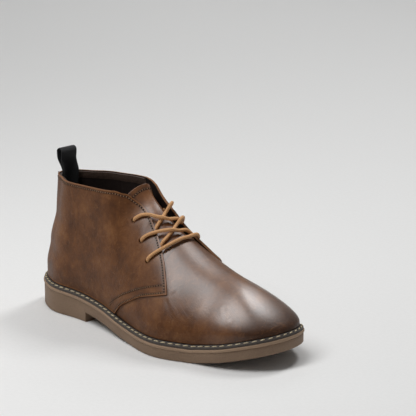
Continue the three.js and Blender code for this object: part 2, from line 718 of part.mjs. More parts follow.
// Pull loop: a strap folded over, its two ends together down the inside of the back.
const LOOP_EYE = 0.3; // where the loop's opening begins, as share of its height
function buildPullLoop() {
  const eye = LOOP_DEPTH / 2;
  const inside = eye - LOOP_WALL;
  const centre = LOOP_HEIGHT - eye;
  const shape = new THREE.Shape();
  shape.moveTo(-LOOP_WALL, -LOOP_TAIL);
  shape.lineTo(LOOP_WALL, -LOOP_TAIL);
  shape.lineTo(LOOP_WALL, 0);
  shape.bezierCurveTo(LOOP_WALL, 0.4 * LOOP_HEIGHT, eye, 0.5 * LOOP_HEIGHT, eye, centre);
  shape.absarc(0, centre, eye, 0, Math.PI, false);
  shape.bezierCurveTo(-eye, 0.5 * LOOP_HEIGHT, -LOOP_WALL, 0.4 * LOOP_HEIGHT, -LOOP_WALL, 0);
  shape.closePath();
  const hole = new THREE.Path();
  hole.moveTo(0, LOOP_EYE * LOOP_HEIGHT);
  hole.bezierCurveTo(0.4 * inside, 0.45 * LOOP_HEIGHT, inside, 0.6 * LOOP_HEIGHT, inside, centre);
  hole.absarc(0, centre, inside, 0, Math.PI, false);
  hole.bezierCurveTo(-inside, 0.6 * LOOP_HEIGHT, -0.4 * inside, 0.45 * LOOP_HEIGHT, 0, LOOP_EYE * LOOP_HEIGHT);
  shape.holes.push(hole);
  const band = new THREE.ExtrudeGeometry(shape, { depth: LOOP_WIDTH, steps: 4, bevelEnabled: false, curveSegments: 6 });
  band.rotateX(QUARTER_TURN);
  band.translate(0, LOOP_WIDTH / 2, 0);
  const position = band.getAttribute("position");
  for (let i = 0; i < position.count; i += 1) {
    const [x, y, z] = [position.getX(i), position.getY(i), position.getZ(i)];
    const wall = backWallAt(y || GAP, COLLAR_HEIGHT + Math.min(z, 0));
    const straight = smoothstep(z, 0, 0.6 * LOOP_HEIGHT);
    const middle = backWallAt(GAP, COLLAR_HEIGHT);
    position.setX(i, x + LOOP_WALL + 2 * GAP + THREE.MathUtils.lerp(wall, middle, straight));
    position.setZ(i, z + COLLAR_HEIGHT);
  }
  return solidOf(band);
}

// Laces: cords over the skin. Each spot has a ring place, a turn and the level of the cord's middle.
const RADIUS = LACE_DIAMETER / 2;
const ON_TONGUE = GAP + RADIUS - TONGUE_DROP + 0.15;
const ON_VAMP = GAP + RADIUS + 0.8;
const ON_QUARTER = GAP + RADIUS + QUARTER_WALL + 0.2;
const FLAP_ROOM = 0.7; // the inner flap is steeper than the skin under it
const ON_FLAP = ON_QUARTER + FLAP_ROOM;
const OVER_CORD = ON_TONGUE + 0.94 * LACE_DIAMETER;
// How a cord rises out of an eyelet: steps along the quarter and out from it, as shares of its diameter.
const RISE_OUT = [
  { along: 0, out: 0.05 },
  { along: 0.08, out: 0.55 },
  { along: 0.34, out: 1.0 },
  { along: 0.8, out: 1.17 },
];
function eyeletRise(eyelet, side, next) {
  const ring = eyeletRing(eyelet, side);
  const normal = lastNormal(ring, eyelet.turn);
  const room = side === INNER ? FLAP_ROOM : 0;
  const base = skinPoint(ring, eyelet.turn, flapLift({ ring, turn: eyelet.turn }) + room);
  const along = next.clone().sub(base).projectOnPlane(normal).normalize();
  return RISE_OUT.map((step) =>
    base.clone().addScaledVector(along, step.along * LACE_DIAMETER).addScaledVector(normal, step.out * LACE_DIAMETER),
  );
}
const onSkin = ([ring, turn, level]) => skinPoint(ring, turn, level + flapLift({ ring, turn }));
function cordSolid({ from, spots, to }, steps) {
  let points = spots.map(onSkin);
  if (from) points = [...eyeletRise(from.eyelet, from.side, points[0]), ...points];
  if (to) points = [...points, ...eyeletRise(to.eyelet, to.side, points[points.length - 1]).reverse()];
  const path = new THREE.CatmullRomCurve3(points, false, "centripetal");
  const section = new THREE.Shape().absarc(0, 0, RADIUS, 0, 2 * Math.PI, false);
  return solidOf(new THREE.ExtrudeGeometry(section, { steps, extrudePath: path, curveSegments: 4 }));
}
const [LOW, MIDDLE, HIGH] = EYELETS;
const BAR = {
  from: { eyelet: LOW, side: OUTER },
  spots: [
    [0.538, 0.6, ON_QUARTER],
    [0.556, 0.71, ON_QUARTER - 0.4],
    [0.568, 0.85, ON_VAMP + 0.4],
    [0.573, 1.0, ON_VAMP],
    [-0.568, 0.85, ON_VAMP + 0.4],
    [-0.556, 0.71, ON_FLAP],
    [-0.538, 0.6, ON_FLAP],
  ],
  to: { eyelet: LOW, side: INNER },
};
const LOWER_OVER = {
  from: { eyelet: MIDDLE, side: OUTER },
  spots: [
    [0.492, 0.646, ON_QUARTER],
    [0.514, 0.741, ON_QUARTER],
    [0.535, 0.854, OVER_CORD],
    [0.55, 1.0, ON_VAMP],
    [-0.549, 0.9, ON_VAMP],
    [-0.546, 0.82, ON_VAMP - 0.4],
  ],
};
const LOWER_UNDER = {
  spots: [
    [0.533, 0.79, ON_TONGUE],
    [0.535, 0.854, ON_TONGUE],
    [0.528, 1.0, ON_TONGUE + 0.6],
    [-0.516, 0.86, ON_FLAP],
    [-0.5, 0.74, ON_FLAP],
    [-0.486, 0.65, ON_FLAP],
  ],
  to: { eyelet: MIDDLE, side: INNER },
};
const UPPER_OVER = {
  from: { eyelet: HIGH, side: OUTER },
  spots: [
    [0.44, 0.69, ON_QUARTER],
    [0.46, 0.76, ON_QUARTER],
    [0.488, 0.868, OVER_CORD],
    [0.503, 1.0, ON_TONGUE + 0.6],
    [-0.502, 0.92, ON_TONGUE],
    [-0.5, 0.85, ON_TONGUE],
  ],
};
const UPPER_UNDER = {
  spots: [
    [0.49, 0.825, ON_TONGUE],
    [0.488, 0.868, ON_TONGUE],
    [0.478, 1.0, ON_TONGUE + 0.6],
    [-0.462, 0.88, ON_FLAP],
    [-0.446, 0.76, ON_FLAP],
    [-0.434, 0.69, ON_FLAP],
  ],
  to: { eyelet: HIGH, side: INNER },
};

const boot = new THREE.Group();
function addPiece(name, solid, colour, roughness) {
  const material = new THREE.MeshStandardMaterial({ color: colour, roughness, metalness: 0 });
  const mesh = new THREE.Mesh(geometryOf(solid), material);
  mesh.name = name;
  boot.add(mesh);
}

addPiece("outsole", buildOutsole(), 0x6d5a49, 0.75);
addPiece("welt", buildWelt(), 0x3a3230, 0.7);
addPiece("insole", buildInsole(), 0x2e2422, 0.85);
addPiece("upper", buildUpper(), 0x5a3a25, 0.4);
addPiece("tongue", buildTongue(), 0x5a3a25, 0.45);
addPiece("pull_loop", buildPullLoop(), 0x17171a, 0.7);
addPiece("lace_bar", cordSolid(BAR, 24), 0x8a6a45, 0.8);
addPiece("lace_cross_lower", cordSolid(LOWER_OVER, 18).add(cordSolid(LOWER_UNDER, 18)), 0x8a6a45, 0.8);
addPiece("lace_cross_upper", cordSolid(UPPER_OVER, 18).add(cordSolid(UPPER_UNDER, 18)), 0x8a6a45, 0.8);

// The origin is the middle of the sole's box, on the floor.
const widths = ringPlaces(SOLE_PLACES).map((ring) => outlineAt(ring).y);
boot.position.set(-SOLE_LENGTH / 2, -(Math.min(...widths) + Math.max(...widths)) / 2, 0);

export default boot;
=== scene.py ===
# %% [markdown]
# # Chukka boot
# An ankle boot in brown leather on a moulded rubber sole, for the right foot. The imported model
# holds the boot's solids. This lesson dresses them: every piece of leather, rubber, thread and lace
# is built again with its real thickness, edges, seams and finish, in the same place as its solid.

# %% Load the frame
import math

import bmesh
import bpy
import numpy as np
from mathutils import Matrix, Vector
from mathutils.kdtree import KDTree


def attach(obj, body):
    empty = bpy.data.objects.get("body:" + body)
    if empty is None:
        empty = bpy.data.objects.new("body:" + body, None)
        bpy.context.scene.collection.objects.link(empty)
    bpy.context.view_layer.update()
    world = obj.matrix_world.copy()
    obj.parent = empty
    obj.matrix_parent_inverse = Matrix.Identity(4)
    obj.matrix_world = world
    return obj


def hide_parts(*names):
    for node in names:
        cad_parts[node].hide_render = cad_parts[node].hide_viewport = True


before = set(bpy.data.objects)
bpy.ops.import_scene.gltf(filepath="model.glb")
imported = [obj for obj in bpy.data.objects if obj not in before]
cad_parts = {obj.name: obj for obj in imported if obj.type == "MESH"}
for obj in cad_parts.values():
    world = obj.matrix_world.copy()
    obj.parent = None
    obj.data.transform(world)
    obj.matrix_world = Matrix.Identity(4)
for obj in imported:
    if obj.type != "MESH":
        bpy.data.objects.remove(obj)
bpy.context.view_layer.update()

print("nodes:", ", ".join(sorted(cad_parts)))

# %% [markdown]
# ## Camera
# The photograph was taken from the front outer corner with a long lens, so the toe hardly grows.
# The camera looks along one direction and stands a little off the boot's middle, which frames the
# boot without turning the lens or shifting it.

# %% Camera
TARGET = Vector((0.0, 0.00617, 0.060))
AZIMUTH, ELEVATION, DISTANCE = math.radians(43.39), math.radians(15.13), 1.64769
FOCAL_PIXELS, IMAGE_PIXELS, SENSOR = 1828.06, 416, 36.0
OFF_RIGHT, OFF_UP = 0.04001, 0.05190
back = Vector((math.sin(AZIMUTH) * math.cos(ELEVATION), -math.cos(AZIMUTH) * math.cos(ELEVATION), math.sin(ELEVATION)))
right = Vector((math.cos(AZIMUTH), math.sin(AZIMUTH), 0))
up = back.cross(right)
camera = bpy.data.objects.new("camera", bpy.data.cameras.new("camera"))
camera.data.sensor_width = SENSOR
camera.data.lens = FOCAL_PIXELS / IMAGE_PIXELS * SENSOR
camera.data.clip_start, camera.data.clip_end = 0.1, 20
camera.location = TARGET + back * DISTANCE + right * OFF_RIGHT + up * OFF_UP
camera.rotation_mode = "QUATERNION"
camera.rotation_quaternion = (-back).to_track_quat("-Z", "Y")
bpy.context.scene.collection.objects.link(camera)
bpy.context.scene.camera = camera
print("camera at", [round(v, 3) for v in camera.location], "lens", round(camera.data.lens, 1))

# %% [markdown]
# ## The last
# A shoe is built over a last, a solid form of the foot. The same named sizes and tables as in the
# model's source describe it here: a spine down the middle of the sole, a radius to each side, and a
# section that rises from the welt to the top line. Places run from the middle of the heel's back, 0,
# along one side to the toe's tip, 1. Lengths are in millimetres until a mesh is made.

# %% Sizes
SOLE_LENGTH, BALL_WIDTH, SOLE_THICKNESS, HEEL_LIFT, HEEL_LENGTH = 300, 106, 12.2, 11.8, 84.5
TOE_SPRING, TOE_SWING, WELT_HEIGHT, LEDGE, INSTEP_HEIGHT = 15.6, 3, 4.2, 4.2, 111
COLLAR_HEIGHT, SHAFT_RUN, HEEL_LEAN = 127, 100, 10
LINING_WALL, QUARTER_WALL, STAY_WALL, STAY_WIDTH = 1.7, 1.3, 0.9, 24
TONGUE_WALL, TONGUE_DROP, EYELET_DIAMETER, LACE_DIAMETER = 1.6, 1.6, 4.4, 3.2
INSOLE_THICKNESS, LOOP_WIDTH, LOOP_HEIGHT, LOOP_DEPTH = 6.4, 19, 23, 7.4
LOOP_WALL, LOOP_TAIL, GAP = 1.3, 13, 0.3
HEEL_CENTRE, TOE_CENTRE = 0.1933 * SOLE_LENGTH, 0.8067 * SOLE_LENGTH
HEEL_SIDE, TOE_ROOT, TURN_BLEND = 0.18, 0.765, 0.06
VAMP_EDGE, THROAT_START, DEEPER = 0.548, 0.34, (0.36, 0.54)
EYELETS = [(0.519, 0.509), (0.472, 0.571), (0.423, 0.63)]
INNER_EYELETS = [(0.519, 0.555), (0.472, 0.60), (0.423, 0.645)]

# %% Tables
PLAN = np.array([
    (0.0, 0.547, 0.547), (0.09, 0.42, 0.434), (0.18, 0.349, 0.349), (0.33, 0.387, 0.307), (0.47, 0.5, 0.305),
    (0.62, 0.604, 0.392), (0.765, 0.489, 0.437), (0.84, 0.481, 0.458), (0.92, 0.524, 0.53), (1.0, 0.547, 0.547)])
RISE_BEHIND = np.array([(0, 1), (0.133, 0.95), (0.28, 0.74), (0.34, 0.61), (0.433, 0.28), (0.533, 0.04), (0.6, 0)])
RISE_AHEAD = np.array([(0.77, 0), (0.867, 0.36), (0.95, 0.77), (1, 1)])
TOP_LINE = np.array([
    (0.1933, 2.7), (0.35, 1.89), (0.423, 1.2), (0.497, 1.0), (0.573, 0.85), (0.653, 0.725),
    (0.733, 0.632), (0.8067, 0.568)])
FULLNESS = np.array([
    (0, 2, 2), (0.18, 2, 2), (0.33, 2, 2), (0.47, 1.88, 1.85), (0.62, 1.88, 1.95), (0.765, 1.95, 1.85),
    (0.9, 2.1, 1.95), (1, 2, 1.9)])
LEAN_HEIGHTS = np.array([0, 0.12, 0.35, 0.65, 1.0]) * SHAFT_RUN
LEAN = np.array([
    (0, 0.03, -0.37, -1, -1), (0.09, 0, -0.32, -0.75, -0.9), (0.18, 0.13, 0.09, -0.09, -0.11),
    (0.33, 0.12, 0.05, -0.1, -0.1), (0.55, 0.12, 0, 0, 0), (1, 0.08, 0, 0, 0)])
THROAT = np.array([(0.34, 0.39), (0.375, 0.47), (0.423, 0.55), (0.472, 0.52), (0.519, 0.46), (0.6, 0.46), (1, 0.46)])
OUTER_FRONT = np.array([
    (0.626, 0.413), (0.612, 0.484), (0.596, 0.541), (0.574, 0.608), (0.55, 0.66), (0.527, 0.70),
    (0.506, 0.733), (0.486, 0.756), (0.465, 0.781), (0.449, 0.797), (0.439, 0.806)])
OUTER_TOP = np.array([(0.439, 0.806), (0.424, 0.800), (0.411, 0.765), (0.395, 0.70), (0.375, 0.572)])
INNER_FRONT = np.array([
    (0.636, 0.715), (0.618, 0.735), (0.600, 0.75), (0.585, 0.76), (0.566, 0.775), (0.549, 0.785),
    (0.534, 0.795), (0.520, 0.80), (0.5, 0.81), (0.481, 0.82), (0.454, 0.825)])
INNER_TOP = np.array([(0.454, 0.825), (0.43, 0.803), (0.41, 0.755), (0.393, 0.70), (0.376, 0.596)])
OUTER_LOWER = np.array([
    (0.626, 0.413), (0.573, 0.32), (0.538, 0.264), (0.481, 0.158), (0.438, 0.079), (0.415, 0.022), (0.405, 0.0)])
INNER_LOWER = np.array([
    (0.636, 0.715), (0.625, 0.60), (0.602, 0.48), (0.563, 0.34), (0.5, 0.18), (0.438, 0.06), (0.405, 0.0)])


# %% Curves through tables
def cubic(xs, ys, slopes, x):
    x = np.asarray(x, float)
    i = np.clip(np.searchsorted(xs, x, "right") - 1, 0, len(xs) - 2)
    h = xs[i + 1] - xs[i]
    t = np.clip((x - xs[i]) / h, 0, 1)
    t2, t3 = t * t, t * t * t
    return ((2 * t3 - 3 * t2 + 1) * ys[i] + (t3 - 2 * t2 + t) * h * slopes[i]
            + (3 * t2 - 2 * t3) * ys[i + 1] + (t3 - t2) * h * slopes[i + 1])


def middle_slopes(xs, ys):
    h = np.diff(xs)
    s = np.diff(ys) / h
    return s, (s[1:] * h[:-1] + s[:-1] * h[1:]) / (h[:-1] + h[1:])


def open_curve(xs, ys):
    xs, ys = np.asarray(xs, float), np.asarray(ys, float)
    s, inner = middle_slopes(xs, ys)
    slopes = np.r_[s[0], inner, s[-1]]
    return lambda x: cubic(xs, ys, slopes, x)


def ring_curve(places, outer, inner):
    xs = np.r_[places, 2 - places[-2:0:-1]]
    ys = np.r_[outer, inner[-2:0:-1]]
    xs, ys = np.r_[xs[-1] - 2, xs, xs[0] + 2, xs[1] + 2], np.r_[ys[-1], ys, ys[0], ys[1]]
    slopes = np.r_[0, middle_slopes(xs, ys)[1], 0]
    return lambda ring: cubic(xs, ys, slopes, np.mod(ring, 2))


def smooth(x, start, end):
    t = np.clip((np.asarray(x, float) - start) / (end - start), 0, 1)
    return t * t * (3 - 2 * t)


sole_radius = ring_curve(*PLAN.T)
rise_behind, rise_ahead = open_curve(*RISE_BEHIND.T), open_curve(*RISE_AHEAD.T)
top_line = open_curve(*TOP_LINE.T)
full_rise = ring_curve(FULLNESS[:, 0], FULLNESS[:, 1], FULLNESS[:, 1])
full_spread = ring_curve(FULLNESS[:, 0], FULLNESS[:, 2], FULLNESS[:, 2])
leans = [ring_curve(LEAN[:, 0], LEAN[:, k], LEAN[:, k]) for k in range(1, 5)]
throat_turn = open_curve(*THROAT.T)
print("sole radius at the ball:", round(float(sole_radius(0.62)) * BALL_WIDTH, 1), "mm")


# %% Surface of the last
def place_of(ring):
    r = np.mod(ring, 2)
    return np.where(r <= 1, r, 2 - r)


def is_inner(ring):
    return np.mod(ring, 2) > 1


def eased_ramp(t):
    bend = (t + TURN_BLEND) ** 2 / (4 * TURN_BLEND)
    return np.where(t < -TURN_BLEND, 0, np.where(t > TURN_BLEND, t, bend))


def spine_at(ring):
    place = place_of(ring)
    side = np.where(is_inner(ring), 1.0, -1.0)
    run = (eased_ramp(place - HEEL_SIDE) - eased_ramp(place - TOE_ROOT)) / (TOE_ROOT - HEEL_SIDE)
    x = HEEL_CENTRE + (TOE_CENTRE - HEEL_CENTRE) * run
    y = TOE_SWING * run * run * (3 - 2 * run)
    is_toe = place > (HEEL_SIDE + TOE_ROOT) / 2
    toe_turn = math.pi / 2 * eased_ramp(place - TOE_ROOT) / (1 - TOE_ROOT)
    heel_turn = math.pi / 2 * (1 - eased_ramp(HEEL_SIDE - place) / HEEL_SIDE)
    toe_reach = (SOLE_LENGTH - TOE_CENTRE) / (PLAN[-1, 1] * BALL_WIDTH)
    heel_reach = HEEL_CENTRE / (PLAN[0, 1] * BALL_WIDTH)
    forward = np.where(is_toe, toe_reach * np.sin(toe_turn), -heel_reach * np.cos(heel_turn))
    across = side * np.where(is_toe, np.cos(toe_turn), np.sin(heel_turn))
    return x, y, forward, across


def outline_at(ring, inset=0.0):
    x, y, forward, across = spine_at(ring)
    r = sole_radius(ring) * BALL_WIDTH - inset / np.hypot(forward, across)
    return x + r * forward, y + r * across


def underside_at(x):
    along = np.asarray(x, float) / SOLE_LENGTH
    ahead = np.maximum(0, rise_ahead(along)) * TOE_SPRING
    return np.where(along > RISE_AHEAD[0, 0], ahead, np.maximum(0, rise_behind(along)) * HEEL_LIFT)


def sole_top_at(x):
    return underside_at(x) + SOLE_THICKNESS


def top_slope_at(x):
    low, high = x - 0.5, np.minimum(x + 0.5, TOE_CENTRE)
    return INSTEP_HEIGHT * (top_line(high / SOLE_LENGTH) - top_line(low / SOLE_LENGTH)) / (high - low)


def lean_at(ring, height):
    values = [np.zeros_like(height)] + [lean(ring) * HEEL_LEAN for lean in leans]
    result = values[0]
    for i in range(4):
        t = smooth(height, LEAN_HEIGHTS[i], LEAN_HEIGHTS[i + 1])
        result = np.where(height >= LEAN_HEIGHTS[i], values[i] * (1 - t) + values[i + 1] * t, result)
    return result


def last_point(ring, turn):
    ring, turn = np.broadcast_arrays(np.asarray(ring, float), np.asarray(turn, float))
    x, y, forward, across = spine_at(ring)
    angle = np.clip(turn, 0, 1) * math.pi / 2
    foot = sole_top_at(outline_at(ring, LEDGE)[0]) + WELT_HEIGHT
    rise = np.sin(angle) ** (2 / full_rise(ring))
    spread = np.maximum(0, np.cos(angle)) ** (2 / full_spread(ring))
    height = rise * (top_line(x / SOLE_LENGTH) * INSTEP_HEIGHT - foot)
    stretch = np.hypot(forward, across)
    lean = lean_at(ring, height) * np.minimum(1, spread / 0.35)
    r = (sole_radius(ring) * BALL_WIDTH - LEDGE / stretch) * spread + lean / stretch
    slope = np.where(place_of(ring) > (HEEL_SIDE + TOE_ROOT) / 2, top_slope_at(x), 0)
    return np.stack([x + r * forward, y + r * across, foot + height + slope * r * forward * rise], -1)


def unit(v):
    return v / np.maximum(np.linalg.norm(v, axis=-1, keepdims=True), 1e-12)


NORMAL_STEP = 0.004


def last_normal(ring, turn):
    ring, turn = np.broadcast_arrays(np.asarray(ring, float), np.asarray(turn, float))
    low, high = np.maximum(turn - NORMAL_STEP, NORMAL_STEP / 4), np.minimum(turn + NORMAL_STEP, 1)
    along = last_point(ring + NORMAL_STEP / 2, turn) - last_point(ring - NORMAL_STEP / 2, turn)
    rise = last_point(ring, high) - last_point(ring, low)
    normal = np.cross(along, rise)
    normal[..., 2] = np.where(turn < NORMAL_STEP, 0, normal[..., 2])
    slope = top_slope_at(spine_at(ring)[0])
    ridge = np.stack([-slope, 0 * slope, 1 + 0 * slope], -1)
    on_ridge = smooth(turn, 1 - 6 * NORMAL_STEP, 1 - NORMAL_STEP)[..., None]
    return unit(unit(normal) * (1 - on_ridge) + unit(ridge) * on_ridge)


def skin_point(ring, turn, d):
    deeper = QUARTER_WALL * (1 - smooth(place_of(ring), *DEEPER))
    return last_point(ring, turn) + last_normal(ring, turn) * (np.asarray(d) - deeper)[..., None]


def turn_at_height(ring, height):
    ring, height = np.broadcast_arrays(np.asarray(ring, float), np.asarray(height, float))
    low, high = np.zeros(ring.shape), np.ones(ring.shape)
    for _ in range(24):
        middle = (low + high) / 2
        below = last_point(ring, middle)[..., 2] < height
        low, high = np.where(below, middle, low), np.where(below, high, middle)
    return (low + high) / 2


print("top of the toe:", last_point(1.0, 0.9).round(1), "side of the collar:", turn_at_height(0.25, 127).round(3))

# %% [markdown]
# ## Meshes
# Leather, lining and tongue are all sheets: two layers of points with a wall round every free edge,
# so that the cut edge of the leather can be seen. One function joins such layers, merges the points
# that meet, and turns the faces outwards. Numbers on the points, such as the painted shade near a seam,
# travel with the mesh for the materials to read.

# %% Mesh helpers
outline_ys = outline_at(np.linspace(0, 2, 401))[1]
MIDDLE = np.array([SOLE_LENGTH / 2, (outline_ys.min() + outline_ys.max()) / 2, 0])


def to_frame(points):
    return (np.asarray(points, float) - MIDDLE) / 1000


def make_piece(name, points, faces, kinds, materials, marks=None, sharp=40, bevel=0.0, uv=None, merge=1e-5):
    mesh = bpy.data.meshes.new(name)
    used, compact = np.unique(np.concatenate([np.ravel(f) for f in faces]), return_inverse=True)
    ends = np.cumsum([len(f) for f in faces])
    corners = np.split(compact, ends[:-1])
    mesh.from_pydata(to_frame(points)[used].tolist(), [], [c.tolist() for c in corners])
    for material in materials:
        mesh.materials.append(material)
    mesh.polygons.foreach_set("material_index", np.asarray(kinds, np.int32))
    for key, values in (marks or {}).items():
        layer = mesh.attributes.new(key, "FLOAT", "POINT")
        layer.data.foreach_set("value", np.asarray(values, np.float32).ravel()[used])
    if uv is not None:
        layer = mesh.uv_layers.new(name="along")
        layer.data.foreach_set("uv", np.asarray(uv, np.float32).ravel())
    shape = bmesh.new()
    shape.from_mesh(mesh)
    bmesh.ops.remove_doubles(shape, verts=shape.verts, dist=merge)
    bmesh.ops.dissolve_degenerate(shape, edges=shape.edges, dist=1e-7)
    bmesh.ops.recalc_face_normals(shape, faces=shape.faces)
    if shape.calc_volume(signed=True) < 0:
        bmesh.ops.reverse_faces(shape, faces=shape.faces)
    loose = sum(1 for edge in shape.edges if not edge.is_manifold)
    shape.to_mesh(mesh)
    shape.free()
    mesh.polygons.foreach_set("use_smooth", np.ones(len(mesh.polygons), bool))
    mesh.set_sharp_from_angle(angle=math.radians(sharp))
    made = bpy.data.objects.new(name, mesh)
    bpy.context.scene.collection.objects.link(made)
    if bevel:
        rounding = made.modifiers.new("rounding", "BEVEL")
        rounding.width, rounding.segments, rounding.limit_method = bevel / 1000, 2, "ANGLE"
        rounding.angle_limit = math.radians(sharp)
    print(name, len(mesh.vertices), "points,", loose, "open edges")
    return made


def sheet_faces(rows, columns, keep, closed, welded):
    spans = columns if closed else columns - 1
    number = np.arange(rows * columns).reshape(rows, columns)
    after = np.roll(number, -1, 1)
    ring = [number[:-1, :spans], after[:-1, :spans], after[1:, :spans], number[1:, :spans]]
    kept = np.ones((rows - 1, spans), bool) if keep is None else keep
    none_row = np.zeros((1, spans), bool)
    none_column = np.zeros((rows - 1, 1), bool)
    lower = np.vstack([none_row, kept[:-1]])
    upper = np.vstack([kept[1:], none_row])
    if welded is not None:
        upper[-1] |= welded
    following = np.roll(kept, -1, 1) if closed else np.hstack([kept[:, 1:], none_column])
    previous = np.roll(kept, 1, 1) if closed else np.hstack([none_column, kept[:, :-1]])
    count = rows * columns
    top = np.stack(ring, -1)[kept]
    faces, kinds = [top, top[:, ::-1] + count], [0, 1]
    for neighbour, a, b in ((lower, 0, 1), (following, 1, 2), (upper, 2, 3), (previous, 3, 0)):
        edge = kept & ~neighbour
        start, end = ring[a][edge], ring[b][edge]
        faces.append(np.stack([end, start, start + count, end + count], -1))
        kinds.append(2)
    kinds = np.concatenate([np.full(len(f), k) for f, k in zip(faces, kinds)])
    return np.concatenate(faces), kinds


def sheet(name, outer, inner, materials, keep=None, closed=False, welded=None, marks=None, bevel=0.0,
          sharp=40, patch=None):
    rows, columns = outer.shape[:2]
    faces, kinds = sheet_faces(rows, columns, keep, closed, welded)
    if patch is not None:
        inside = patch[keep]
        kinds[len(inside):2 * len(inside)][inside] = 3
    points = np.concatenate([outer.reshape(-1, 3), inner.reshape(-1, 3)])
    both = {k: np.r_[np.ravel(v), np.ravel(v)] for k, v in (marks or {}).items()}
    return make_piece(name, points, list(faces), kinds, materials, both, sharp, bevel)


def distance_to(points, line):
    """Distance from each point to the nearest of the even steps of a line, in millimetres."""
    steps = even_line(line, 0.25)
    tree = KDTree(len(steps))
    for i, step in enumerate(steps.tolist()):
        tree.insert(step, i)
    tree.balance()
    near = [tree.find(point)[2] for point in points.reshape(-1, 3).tolist()]
    return np.array(near).reshape(points.shape[:-1])


def even_line(points, step):
    """The same line with points an even step apart."""
    points = np.asarray(points, float)
    run = np.r_[0, np.cumsum(np.linalg.norm(np.diff(points, axis=0), axis=1))]
    along = np.linspace(0, run[-1], max(2, int(round(run[-1] / step)) + 1))
    return np.stack([open_curve(run, points[:, k])(along) for k in range(points.shape[1])], -1)


# %% [markdown]
# ## Shader maths
# A finish is a tree of nodes. To keep it readable, a socket is wrapped in a small class whose
# operators add the Math nodes, so that a mask can be written as a sum or a product in Python.

# %% Shader helpers
class Wire:
    """A socket of a finish. Arithmetic on it adds Math nodes."""

    def __init__(self, board, socket):
        self.board, self.socket = board, socket

    def maths(self, operation, *values, clamp=False):
        settings = {"operation": operation, "use_clamp": clamp}
        return self.board.node("ShaderNodeMath", settings, dict(enumerate(values)))

    def __add__(self, other):
        return self.maths("ADD", self, other)

    def __sub__(self, other):
        return self.maths("SUBTRACT", self, other)

    def __mul__(self, other):
        return self.maths("MULTIPLY", self, other)

    def __rsub__(self, other):
        return self.maths("SUBTRACT", other, self)

    __radd__, __rmul__ = __add__, __mul__

    def clamped(self):
        return self.maths("ADD", self, 0.0, clamp=True)


class Board:
    """The node tree of one finish."""

    def __init__(self, name):
        self.material = bpy.data.materials.new(name)
        self.material.use_nodes = True
        self.tree = self.material.node_tree
        self.tree.nodes.clear()

    def node(self, kind, settings=None, values=None, out=0):
        made = self.tree.nodes.new(kind)
        for key, value in (settings or {}).items():
            if key == "stops":
                while len(made.color_ramp.elements) < len(value):
                    made.color_ramp.elements.new(1.0)
                for element, (position, colour) in zip(made.color_ramp.elements, value):
                    element.position, element.color = position, (*colour, 1)
            else:
                setattr(made, key, value)
        for key, value in (values or {}).items():
            if isinstance(value, Wire):
                self.tree.links.new(value.socket, made.inputs[key])
            else:
                made.inputs[key].default_value = value
        return Wire(self, made.outputs[out]) if made.outputs else made

    def place(self, scale=(1, 1, 1), turn=(0, 0, 0)):
        spot = self.node("ShaderNodeTexCoord", out="Object")
        return self.node("ShaderNodeMapping", None, {"Vector": spot, "Scale": scale, "Rotation": turn})

    def noise(self, scale, detail=3.0, vector=None, roughness=0.5, distortion=0.0):
        values = {"Vector": vector or self.place(), "Scale": scale, "Detail": detail, "Roughness": roughness}
        return self.node("ShaderNodeTexNoise", None, {**values, "Distortion": distortion})

    def mark(self, name):
        return self.node("ShaderNodeAttribute", {"attribute_name": name}, out="Fac")

    def ramp(self, value, *stops):
        return self.node("ShaderNodeValToRGB", {"stops": stops}, {"Fac": value})

    def blend(self, low, high, factor, kind="MIX"):
        low, high = [(*c, 1) if isinstance(c, tuple) else c for c in (low, high)]
        settings = {"data_type": "RGBA", "blend_type": kind}
        return self.node("ShaderNodeMix", settings, {0: factor, 6: low, 7: high}, out=2)

    def uv(self):
        spot = self.node("ShaderNodeUVMap", {"uv_map": "along"})
        parts = self.node("ShaderNodeSeparateXYZ", None, {"Vector": spot})
        return parts, Wire(self, parts.socket.node.outputs[1])

    def range(self, value, start, end, low=0.0, high=1.0):
        values = {"Value": value, "From Min": start, "From Max": end, "To Min": low, "To Max": high}
        return self.node("ShaderNodeMapRange", {"clamp": True}, values)

    def surface(self, colour, roughness, height=None, depth=0.1, coat=None, **fixed):
        values = {"Base Color": colour, "Roughness": roughness}
        if coat is not None:
            values["Coat Weight"] = coat
        if height is not None:
            bump = {"Strength": 1.0, "Distance": depth / 1000, "Height": height}
            values["Normal"] = self.node("ShaderNodeBump", None, bump)
        shader = self.node("ShaderNodeBsdfPrincipled", None, values)
        for key, value in fixed.items():
            shader.socket.node.inputs[key.replace("_", " ")].default_value = value
        self.node("ShaderNodeOutputMaterial", None, {"Surface": shader})
        print("finish", self.material.name, len(self.tree.nodes), "nodes")
        return self.material
